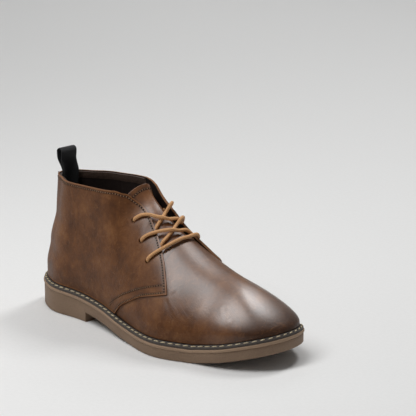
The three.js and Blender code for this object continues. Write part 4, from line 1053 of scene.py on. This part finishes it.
# %% Eyelets and the finished quarters
cells = (quarter_outer[:-1, :-1] + quarter_outer[1:, :-1] + quarter_outer[:-1, 1:] + quarter_outer[1:, 1:]) / 4
quarter_keep = np.ones(cells.shape[:2], bool)
eyelet_spots = []
for spots, side in ((EYELETS, 1), (INNER_EYELETS, -1)):
    for ring, turn in [(side * place, turn) for place, turn in spots]:
        normal = last_normal(ring, turn)
        centre = skin_point(ring, turn, QUARTER_WALL + flap_lift(ring, turn))
        from_centre = cells - centre
        level = from_centre @ normal
        radial = np.linalg.norm(from_centre - level[..., None] * normal, axis=-1)
        hole = (radial < EYELET_DIAMETER / 2) & (np.abs(level) < 6)
        quarter_keep &= ~hole
        eyelet_spots.append((centre, normal))
        corner = np.zeros(quarter_outer.shape[:2], int)
        for i in (0, 1):
            for j in (0, 1):
                corner[i:corner.shape[0] - 1 + i, j:corner.shape[1] - 1 + j] += hole
        rim = (corner > 0) & (corner < 4)
        for layer in (quarter_outer, quarter_inner):
            offset = layer[rim] - centre
            level = (offset @ normal)[:, None] * normal
            layer[rim] = centre + level + unit(offset - level) * EYELET_DIAMETER / 2
print("cells left out for the eyelets:", int((~quarter_keep).sum()))
quarter_polish = 0.6 * smooth(last_normal(quarter_ring, quarter_turn)[..., 2], 0.25, 0.85)
# A paler rim along every edge of the quarters: partly a burnished edge, partly a painted highlight on its rounding.
to_edge = np.full(quarter_outer.shape[:2], 1e9)
for line in (quarter_outer[-1], quarter_outer[0], quarter_outer[:, 0], quarter_outer[:, -1]):
    to_edge = np.minimum(to_edge, distance_to(quarter_outer, line))
rim_highlight_mark = np.exp(-(to_edge / 0.9) ** 2)
quarter_marks = {"burnish": burnish_of(quarter_skin, quarter_ring), "seam": seam_shade_mark,
                 "polish": quarter_polish, "rim": rim_highlight_mark}
quarters = sheet("quarters", quarter_outer, quarter_inner, [leather_finish, lining_finish, edge_finish],
                 quarter_keep, marks=quarter_marks, bevel=0.25, sharp=50)
raised_seams = [(line + normal * 0.05, normal) for line, normal in quarter_seams]
quarter_stitches = stitch_piece("quarter_stitches", raised_seams, seed=7, **SEAM)


# %% Eyelet rims
def ring_shape(centre, normal, radius, thick, around=24, section=8):
    side = unit(np.cross(normal, [0.3, 0.2, 1.0]))
    other = np.cross(normal, side)
    a = np.linspace(0, 2 * math.pi, around, endpoint=False)[:, None, None]
    b = np.linspace(0, 2 * math.pi, section, endpoint=False)[None, :, None]
    reach = radius + thick * np.cos(b)
    points = centre + reach * (np.cos(a) * side + np.sin(a) * other) + 0.6 * thick * np.sin(b) * normal
    number = np.arange(around * section).reshape(around, section)
    after = np.roll(number, -1, 0)
    faces = np.stack([number, after, np.roll(after, -1, 1), np.roll(number, -1, 1)], -1).reshape(-1, 4)
    return points.reshape(-1, 3), faces


def joined(name, shapes, materials, sharp=60):
    points, faces, count = [], [], 0
    for p, f in shapes:
        points.append(p)
        faces.append(f + count)
        count += len(p)
    faces = np.concatenate(faces)
    total = np.concatenate(points)
    marks = {key: np.zeros(len(total)) for key in ("burnish", "seam")}
    return make_piece(name, total, list(faces), np.zeros(len(faces), int), materials, marks, sharp)


rim_shapes = [ring_shape(c + n * 0.02, n, EYELET_DIAMETER / 2 + 0.25, 0.42) for c, n in eyelet_spots]
eyelet_rims = joined("eyelet_rims", rim_shapes, [leather_finish])

# %% [markdown]
# ## Back strip
# A strip of the same leather covers the seam at the back of the heel. It is sewn down along both
# edges, and follows the curve of the heel.

# %% Back strip
half_width = STAY_WIDTH / 2 / (PLAN[0, 1] * BALL_WIDTH * math.pi / 2 / HEEL_SIDE)
stay_ring = np.linspace(-half_width, half_width, 21)[None, :]
stay_foot = foot_height(stay_ring)
stay_height = stay_foot + (COLLAR_LINE(stay_ring) - 0.3 - stay_foot) * np.linspace(0, 1, 71)[:, None]
stay_turn = turn_at_height(stay_ring + 0 * stay_height, stay_height)
stay_turn[0] = 0
stay_grid = stay_ring + 0 * stay_turn
stay_edge = np.abs(stay_grid) / half_width
stay_outer = skin_point(stay_grid, stay_turn, QUARTER_WALL + STAY_WALL * (1 - 0.35 * smooth(stay_edge, 0.85, 1)))
stay_inner = skin_point(stay_grid, stay_turn, np.full(stay_turn.shape, QUARTER_WALL - 0.3))
stay_rows = []
for column in (2, -3):
    normal = unit(stay_outer[:, column] - stay_inner[:, column])
    stay_rows.append((stay_outer[1:-1, column] + normal[1:-1] * 0.05, normal[1:-1]))
# Painted shade along the grooves of the strip's stitch rows.
stay_near = np.minimum(*[distance_to(stay_outer, line) for line, _ in stay_rows])
stay_marks = {"burnish": burnish_of(stay_outer, stay_grid), "seam": np.exp(-(stay_near / 1.1) ** 2)}
stay = sheet("back_strip", stay_outer, stay_inner, [leather_finish, leather_finish, edge_finish],
             marks=stay_marks, bevel=0.2, sharp=50)
stay_stitches = stitch_piece("back_strip_stitches", stay_rows, seed=11, **SEAM)

# %% [markdown]
# ## Lining and footbed
# Inside, a dark lining follows the upper down to the footbed, with a binding folded over its top edge
# and a seam at each side. The footbed is a shaped pad a little higher at its rim.

# %% Lining
lining_places = np.r_[np.linspace(0, 0.36, 74), np.linspace(0.365, 0.545, 40), np.linspace(VAMP_EDGE, 1, 50)]
lining_rings = np.r_[lining_places, 2 - lining_places[-2:0:-1]]
signed = np.where(lining_rings > 1, lining_rings - 2, lining_rings)
collar_turn = turn_at_height(lining_rings, COLLAR_LINE(np.clip(signed, -0.36, 0.36)) - 0.9)
throat_edge = np.minimum(collar_turn, throat_turn(np.maximum(place_of(lining_rings), THROAT_START)))
lining_edge = np.where(place_of(lining_rings) <= THROAT_START, collar_turn, throat_edge)
lining_low, lining_high = 60, 12
lining_turns = np.vstack([np.linspace(0, 1, lining_low + 1)[:, None] * lining_edge,
                          lining_edge + np.linspace(0, 1, lining_high + 1)[1:, None] * (1 - lining_edge)])
lining_grid = np.broadcast_to(lining_rings, lining_turns.shape)
over_front = place_of(lining_rings) >= VAMP_EDGE - 1e-9
lining_front = over_front & np.roll(over_front, -1)
lining_keep = np.ones((lining_low + lining_high, len(lining_rings)), bool)
lining_keep[lining_low:] = lining_front
depth_below = last_point(lining_rings, lining_edge)[..., 2] - last_point(lining_grid, lining_turns)[..., 2]
is_binding = (1 - smooth(depth_below, 5.0, 5.8)) * (place_of(lining_grid) < 0.37)
seam_gap = np.minimum(np.abs(place_of(lining_grid) - 0.215), 1) * 300
side_seam = np.exp(-(seam_gap / 1.0) ** 2)
lining_lift = flap_lift(lining_grid, lining_turns) * (1 - smooth(place_of(lining_grid), 0.44, 0.52))
lining_face = -LINING_WALL - 0.45 * is_binding + 0.35 * side_seam * (1 - is_binding) + lining_lift
lining_back = skin_point(lining_grid, lining_turns, -1.15 + 1.05 * (place_of(lining_grid) < 0.36) + lining_lift)
lining_skin = skin_point(lining_grid, lining_turns, lining_face)
bound = (is_binding[:-1] + is_binding[1:]) > 0.9
lining_piece = sheet("lining", lining_back, lining_skin, [lining_finish, lining_finish, binding_finish, binding_finish],
                     lining_keep, closed=True, welded=lining_front, sharp=60, patch=bound)

# %% Footbed
DISH, BED_TOP, BED_EDGE = 1.6, GAP + INSOLE_THICKNESS, 2 * LEDGE
bed_levels = [(share, BED_EDGE + 1.0, over_top(BED_TOP - DISH + DISH * share ** 3))
              for share in (0, 0.3, 0.55, 0.75, 0.88, 0.96, 1.0)]
bed_levels += [(1, BED_EDGE + 0.3, over_top(BED_TOP - 0.4)), (1, BED_EDGE, over_top(BED_TOP - 1.2)),
               (1, BED_EDGE, over_top(GAP)), (0, BED_EDGE, over_top(GAP))]
footbed_piece = stacked("footbed", ring_places(1 / 120), bed_levels, [footbed_finish], sharp=60)

# %% [markdown]
# ## Tongue
# The tongue fills the opening under the laces. Its top is a rounded flap with a sewn rim that leans
# forward off the ankle, and its root is sewn across the front of the throat.

# %% Tongue
TONGUE_ROOT, TONGUE_TOP, TONGUE_LEAN, TONGUE_GAP = 0.6, 0.4, 0.02, 0.045
tongue_v = np.linspace(0, 1, 61)[:, None]
tongue_a = np.linspace(-1, 1, 61)[None, :]
tongue_place = TONGUE_ROOT + (TONGUE_TOP - TONGUE_ROOT) * tongue_v - TONGUE_LEAN * tongue_v ** 2 * tongue_a ** 2
tongue_edge = throat_turn(tongue_place) + TONGUE_GAP + 0.3 * smooth(tongue_place, 0.5, TONGUE_ROOT)
tongue_ring = np.where(tongue_a <= 0, tongue_place, 2 - tongue_place)
tongue_turn = 1 - np.abs(tongue_a) * (1 - tongue_edge)
under_vamp = smooth(tongue_place, 0.505, 0.543)
tongue_face = -(TONGUE_DROP + 0.7 * (1 - smooth(tongue_place, TONGUE_TOP, TONGUE_TOP + 0.06)))
tongue_rise = 2.2 * np.exp(-((tongue_a - 0.35) / 0.45) ** 2) * (1 - smooth(tongue_place, 0.425, 0.47))
tongue_d = tongue_face * (1 - under_vamp) + (-LINING_WALL - GAP) * under_vamp + tongue_rise
rim_swell = 0.35 * np.exp(-((1 - tongue_v) * 62 - 1.4) ** 2 / 2.0) * np.ones_like(tongue_a)
tongue_outer = skin_point(tongue_ring, tongue_turn, tongue_d + rim_swell)
tongue_inner = skin_point(tongue_ring, tongue_turn, tongue_d - TONGUE_WALL)
row = tongue_outer[-3]
tongue_normal = unit(tongue_outer[-3] - tongue_inner[-3])
tongue_rows = [(row[4:-4] + tongue_normal[4:-4] * 0.05, tongue_normal[4:-4])]
tongue_near = distance_to(tongue_outer, row)
# Painted shadow on the tongue beside the quarters' edges, and painted shade along its rim's stitch groove.
tongue_shade = np.full(tongue_near.shape, 1e9)
for rows, side in ((OUTER_FRONT, 1), (OUTER_TOP, 1), (INNER_FRONT, -1), (INNER_TOP, -1)):
    line = lines_on_last(rows * [side, 1], -TONGUE_DROP)
    tongue_shade = np.minimum(tongue_shade, distance_to(tongue_outer, line))
tongue_seam_shade = np.maximum(np.exp(-(tongue_near / 1.1) ** 2), 1.3 * np.exp(-(tongue_shade / 1.7) ** 2))
tongue_marks = {"burnish": 0 * tongue_turn, "seam": tongue_seam_shade, "polish": 0.7 + 0 * tongue_turn}
tongue = sheet("tongue_leather", tongue_outer, tongue_inner, [lightened_tongue_finish, lining_finish, edge_finish],
               marks=tongue_marks, bevel=0.25, sharp=50)
tongue_stitches = stitch_piece("tongue_stitches", tongue_rows, seed=13, **SEAM)

# %% [markdown]
# ## Laces
# The laces are round braided cord. They leave the outer eyelets, cross on the tongue and slip under
# the inner flap, and a straight bar joins the lowest pair. Each cord is a tube along its path, and its
# own map, round and along, carries the braid.

# %% Lace finish
def lace_cord():
    board = Board("lace_cord")
    u, v = board.uv()
    first = (u * 25.13 + v * 3.6).maths("SINE", u * 25.13 + v * 3.6)
    second = (u * 25.13 - v * 3.6).maths("SINE", u * 25.13 - v * 3.6)
    braid = (first * second) * 0.5 + 0.5
    fuzz = board.noise(1200, 2, roughness=0.7)
    weave = (braid * 0.55 + fuzz * 0.45).clamped()
    # The braid's raised strands are painted lighter and its grooves darker, a painted highlight and shade, over the
    # fuzz's random tone.
    colour = board.ramp(weave, (0.2, (0.30, 0.132, 0.046)), (0.5, (0.62, 0.325, 0.140)), (0.85, (0.86, 0.530, 0.265)))
    return board.surface(colour, 0.55 + 0.2 * fuzz, braid + fuzz * 0.3, 0.16, Specular_IOR_Level=0.35)


lace_finish = lace_cord()


# %% Tubes
def tube(path, radius, sides=16, flat=1.0):
    path = np.asarray(path, float)
    tangent = unit(np.gradient(path, axis=0))
    side = unit(np.cross(tangent[0], [0.1, 0.2, 1.0]))
    a = np.linspace(0, 2 * math.pi, sides, endpoint=False)[:, None]
    points = []
    for p, t in zip(path, tangent):
        side = unit(side - t * (side @ t))
        points.append(p + radius * (np.cos(a) * side + flat * np.sin(a) * np.cross(t, side)))
    return np.array(points)


def cord_piece(name, paths, radius, material, sides=16):
    points, faces, uv, count = [], [], [], 0
    for path in paths:
        path = even_line(path, 0.5)
        rings = tube(path, radius, sides)
        n = len(rings)
        number = np.arange(n * sides).reshape(n, sides) + count
        after = np.roll(number, -1, 1)
        quads = np.stack([number[:-1], after[:-1], after[1:], number[1:]], -1).reshape(-1, 4)
        i, j = np.meshgrid(np.arange(n - 1), np.arange(sides), indexing="ij")
        steps = ((0, 0), (1, 0), (1, 1), (0, 1))
        corner = np.stack([np.stack([j + a, i + b], -1) for a, b in steps], 2)
        uv.append((corner / [sides, 2.0]).reshape(-1, 2))
        faces += list(quads)
        for end in (number[0][::-1], number[-1]):
            faces.append(end)
            uv.append(np.zeros((sides, 2)))
        points.append(rings.reshape(-1, 3))
        count += n * sides
    kinds, uv = np.zeros(len(faces), int), np.concatenate(uv)
    return make_piece(name, np.concatenate(points), faces, kinds, [material], sharp=70, uv=uv, merge=1e-7)


# %% Lace paths
RADIUS = LACE_DIAMETER / 2
ON_TONGUE = GAP + RADIUS - TONGUE_DROP + 0.05
ON_VAMP = GAP + RADIUS + 0.75
ON_QUARTER = GAP + RADIUS + QUARTER_WALL + 0.1
FLAP_ROOM = 0.7
ON_FLAP = ON_QUARTER + FLAP_ROOM
OVER_CORD = ON_TONGUE + 0.92 * LACE_DIAMETER
RISE_OUT = [(-0.05, -0.75), (0.14, -0.1), (0.30, 0.42), (0.62, 0.80), (1.15, 0.98)]


def on_skin(spots):
    spots = np.asarray(spots, float)
    return skin_point(spots[:, 0], spots[:, 1], spots[:, 2] + flap_lift(spots[:, 0], spots[:, 1]))


def eyelet_rise(eyelet, inner, following):
    place, turn = (INNER_EYELETS if inner else EYELETS)[eyelet]
    ring = -place if inner else place
    normal = last_normal(ring, turn)
    base = skin_point(ring, turn, flap_lift(ring, turn) + (FLAP_ROOM if inner else 0))
    along = following - base
    along = unit(along - normal * (along @ normal))
    return np.array([base + along * a * LACE_DIAMETER + normal * b * LACE_DIAMETER for a, b in RISE_OUT])


def lace(spots, start=None, end=None):
    points = on_skin(spots)
    if start is not None:
        points = np.concatenate([eyelet_rise(start, False, points[0]), points])
    if end is not None:
        points = np.concatenate([points, eyelet_rise(end, True, points[-1])[::-1]])
    return points


bar = lace([
    (0.533, 0.604, ON_QUARTER), (0.546, 0.70, ON_QUARTER - 0.3), (0.555, 0.803, ON_VAMP + 0.5),
    (0.560, 0.922, ON_VAMP), (0.562, 1.0, ON_VAMP), (-0.561, 0.91, ON_VAMP - 0.6),
    (-0.557, 0.82, ON_FLAP - 0.7), (-0.549, 0.73, ON_FLAP - 0.7), (-0.537, 0.64, ON_FLAP)], 0, 0)
lower_over = lace([
    (0.484, 0.644, ON_QUARTER), (0.499, 0.724, ON_QUARTER), (0.512, 0.801, ON_QUARTER - 0.5),
    (0.525, 0.880, OVER_CORD), (0.534, 0.959, ON_TONGUE + 1.2), (-0.540, 0.92, ON_TONGUE + 0.4),
    (-0.548, 0.83, ON_TONGUE)], 1)
lower_under = lace([
    (0.527, 0.655, -0.9), (0.530, 0.695, -0.6), (0.530, 0.745, ON_TONGUE), (0.530, 0.80, ON_TONGUE),
    (0.527, 0.875, ON_TONGUE), (0.517, 1.0, ON_TONGUE + 0.6), (-0.508, 0.90, ON_FLAP - 0.6),
    (-0.498, 0.81, ON_FLAP + 0.2), (-0.488, 0.72, ON_FLAP), (-0.480, 0.66, ON_FLAP)], None, 1)
upper_over = lace([
    (0.437, 0.709, ON_QUARTER), (0.456, 0.779, ON_QUARTER), (0.472, 0.829, ON_QUARTER - 0.4),
    (0.485, 0.884, OVER_CORD), (0.496, 0.965, ON_TONGUE + 1.2), (-0.503, 0.92, ON_TONGUE + 0.4),
    (-0.510, 0.83, ON_TONGUE)], 2)
upper_under = lace([
    (0.4915, 0.705, -0.9), (0.4905, 0.745, -0.6), (0.489, 0.795, ON_TONGUE), (0.487, 0.84, ON_TONGUE),
    (0.485, 0.89, ON_TONGUE), (0.476, 1.0, ON_TONGUE + 0.6), (-0.465, 0.90, ON_FLAP - 0.6),
    (-0.455, 0.82, ON_FLAP + 0.2), (-0.443, 0.74, ON_FLAP), (-0.432, 0.69, ON_FLAP)], None, 2)
lace_bar = cord_piece("lace_bar_cord", [bar], RADIUS, lace_finish)
lace_lower = cord_piece("lace_lower_pair", [lower_over, lower_under], RADIUS, lace_finish)
lace_upper = cord_piece("lace_upper_pair", [upper_over, upper_under], RADIUS, lace_finish)

# %% [markdown]
# ## Pull loop
# A black webbing strap is folded into a loop and sewn inside the back of the collar. Its line is drawn
# in the plane of the heel, given the width of the strap, and leaned with the wall below the collar.

# %% Strap finish
def webbing():
    board = Board("strap_webbing")
    u, v = board.uv()
    ribs = v.maths("SINE", v * 7.0) * 0.5 + 0.5
    yarn = u.maths("SINE", u * 90.0) * 0.5 + 0.5
    fuzz = board.noise(1500, 2, roughness=0.7)
    weave = (ribs * 0.6 + yarn * 0.2 + fuzz * 0.3).clamped()
    colour = board.ramp(weave, (0.2, (0.0035, 0.0035, 0.0042)), (0.9, (0.020, 0.020, 0.023)))
    return board.surface(colour, 0.6 + 0.2 * fuzz, ribs + yarn * 0.4, 0.22, Specular_IOR_Level=0.45)


strap_finish = webbing()


# %% Pull loop
def bezier(a, b, c, d, count):
    a, b, c, d = [np.array(p) for p in (a, b, c, d)]
    t = np.linspace(0, 1, count)[:, None]
    return (1 - t) ** 3 * a + 3 * (1 - t) ** 2 * t * b + 3 * (1 - t) * t ** 2 * c + t ** 3 * d


wall_rings = np.linspace(0, HEEL_SIDE, 60)
wall_cache = {}


def back_wall(y, height):
    key = round(float(height), 1)
    if key not in wall_cache:
        wall_cache[key] = skin_point(wall_rings, turn_at_height(wall_rings, key), np.full(60, -LINING_WALL - 0.5))
    shape = wall_cache[key]
    return np.interp(np.abs(y), np.abs(shape[:, 1] - shape[0, 1]), shape[:, 0])


eye, half_wall = LOOP_DEPTH / 2 - LOOP_WALL / 2, LOOP_WALL / 2
centre_z = LOOP_HEIGHT - LOOP_DEPTH / 2
rise = bezier((half_wall, 0), (half_wall, 0.4 * LOOP_HEIGHT), (eye, 0.5 * LOOP_HEIGHT), (eye, centre_z), 14)
arc = [(eye * math.cos(a), centre_z + eye * math.sin(a)) for a in np.linspace(0, math.pi, 15)[1:-1]]
profile = np.array([(half_wall, -LOOP_TAIL), (half_wall, -LOOP_TAIL / 2), *rise, *arc, *[(-x, z) for x, z in rise[::-1]],
                    (-half_wall, -LOOP_TAIL / 2), (-half_wall, -LOOP_TAIL)])
profile = even_line(profile, 0.8)
tangent = unit(np.gradient(profile, axis=0))
across = np.stack([tangent[:, 1], -tangent[:, 0]], -1)
strap_y = np.linspace(-LOOP_WIDTH / 2, LOOP_WIDTH / 2, 15)
thin = 1 - 0.45 * (np.abs(strap_y) / (LOOP_WIDTH / 2)) ** 12


def strap_layer(sign):
    points = []
    for y, wall in zip(strap_y, thin):
        flat = profile + across * sign * half_wall * 0.94 * wall
        walls = np.array([back_wall(y, COLLAR_HEIGHT + min(z, 0)) for z in flat[:, 1]])
        straight = smooth(flat[:, 1], 0, 0.6 * LOOP_HEIGHT)
        middle = back_wall(0.0, COLLAR_HEIGHT)
        x = flat[:, 0] + LOOP_WALL + 2 * GAP + walls * (1 - straight) + middle * straight
        points.append(np.stack([x, np.full(len(x), y), flat[:, 1] + COLLAR_HEIGHT], -1))
    return np.stack(points, 1)


def strap_piece(name):
    outer, inner = strap_layer(1), strap_layer(-1)
    rows, columns = outer.shape[:2]
    faces, kinds = sheet_faces(rows, columns, None, False, None)
    points = np.concatenate([outer.reshape(-1, 3), inner.reshape(-1, 3)])
    run = np.repeat(np.arange(rows) * 0.8, columns)
    wide = np.tile(np.linspace(0, 1, columns), rows)
    spot = np.concatenate([np.stack([wide, run], -1)] * 2)
    uv = spot[faces.reshape(-1)]
    return make_piece(name, points, list(faces), 0 * kinds, [strap_finish], sharp=50, bevel=0.2, uv=uv)


strap = strap_piece("pull_loop_strap")

# %% [markdown]
# ## Studio
# The boot stands on a pale sweep that curves up all round. A long soft light hangs over the outer side
# and another stands high beyond the inner side, and they draw the highlights on the vamp and the toe. A
# wide light brightens the backdrop, and a weak one and the world fill the shadows.

# %% Floor and backdrop
def floor_finish():
    board = Board("studio_paper")
    grain = board.noise(300, 2)
    colour = board.ramp(grain, (0.3, (0.79, 0.79, 0.785)), (0.7, (0.81, 0.81, 0.805)))
    return board.surface(colour, 0.9 + 0 * grain, Specular_IOR_Level=0.2)


def sweep():
    profile = [(r, 0.0) for r in (0.0, 0.3, 0.8, 1.5, 2.4)]
    profile += [(2.4 + 1.4 * math.sin(a), 1.4 * (1 - math.cos(a))) for a in np.linspace(0, math.pi / 2, 14)[1:]]
    profile += [(3.8, 3.2)]
    rows, around = len(profile), 96
    angle = np.linspace(0, 2 * math.pi, around, endpoint=False)
    points = np.array([[(r * math.cos(a), r * math.sin(a), z) for a in angle] for r, z in profile])
    number = np.arange(rows * around).reshape(rows, around)
    after = np.roll(number, -1, 1)
    faces = np.stack([number[:-1], after[:-1], after[1:], number[1:]], -1).reshape(-1, 4)
    mesh = bpy.data.meshes.new("studio_sweep")
    mesh.from_pydata(points.reshape(-1, 3).tolist(), [], faces.tolist())
    mesh.materials.append(floor_finish())
    mesh.polygons.foreach_set("use_smooth", np.ones(len(mesh.polygons), bool))
    made = bpy.data.objects.new("studio_sweep", mesh)
    bpy.context.scene.collection.objects.link(made)
    return made


floor = sweep()


# %% Lights
def softbox(name, spot, aim, size, power, colour=(1, 1, 1)):
    light = bpy.data.lights.new(name, "AREA")
    light.shape, light.size, light.size_y = "RECTANGLE", size[0], size[1]
    light.energy, light.color = power, colour
    made = bpy.data.objects.new(name, light)
    made.location = spot
    made.rotation_mode = "QUATERNION"
    made.rotation_quaternion = (Vector(aim) - Vector(spot)).to_track_quat("-Z", "Y")
    made.visible_camera = False
    bpy.context.scene.collection.objects.link(made)
    return made


softbox("overhead_softbox", (-0.14, -0.45, 1.26), (-0.02, 0, 0.06), (0.30, 1.25), 12.0)
softbox("far_softbox", (-0.08, 1.25, 1.98), (0.08, 0, 0.06), (0.42, 0.80), 16.5)
softbox("backdrop_softbox", (-1.5, 1.7, 1.6), (-1.6, 1.8, 0), (1.2, 1.0), 9.5)
softbox("left_fill", (-1.5, -1.1, 0.55), (0, 0, 0.08), (0.9, 0.9), 1.8)
world = bpy.data.worlds.new("studio")
world.use_nodes = True
world.node_tree.nodes["Background"].inputs["Color"].default_value = (1, 1, 1, 1)
world.node_tree.nodes["Background"].inputs["Strength"].default_value = 0.14
bpy.context.scene.world = world
bpy.context.scene.view_settings.view_transform = "Standard"

# %% [markdown]
# ## Bodies
# The boot has no joint, so every piece rides on the one body. Each piece is listed with the solid it
# stands for and a material slot, and that solid is hidden.

# %% Ride and replace
roles = [
    (outsole, "outsole", "sole_rubber"), (welt, "welt", "welt"), (welt_stitches, "welt", "welt"),
    (footbed_piece, "insole", "footbed"), (vamp, "upper", "leather"), (quarters, "upper", "leather"),
    (vamp_stitches, "upper", "leather"), (quarter_stitches, "upper", "leather"),
    (eyelet_rims, "upper", "leather"), (stay, "upper", "leather"), (stay_stitches, "upper", "leather"),
    (lining_piece, "upper", "footbed"), (tongue, "tongue", "leather"),
    (tongue_stitches, "tongue", "leather"), (strap, "pull_loop", "strap"), (lace_bar, "lace_bar", "lace"),
    (lace_lower, "lace_cross_lower", "lace"), (lace_upper, "lace_cross_upper", "lace")]
for made, node, slot in roles:
    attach(made, "root")
    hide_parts(node)
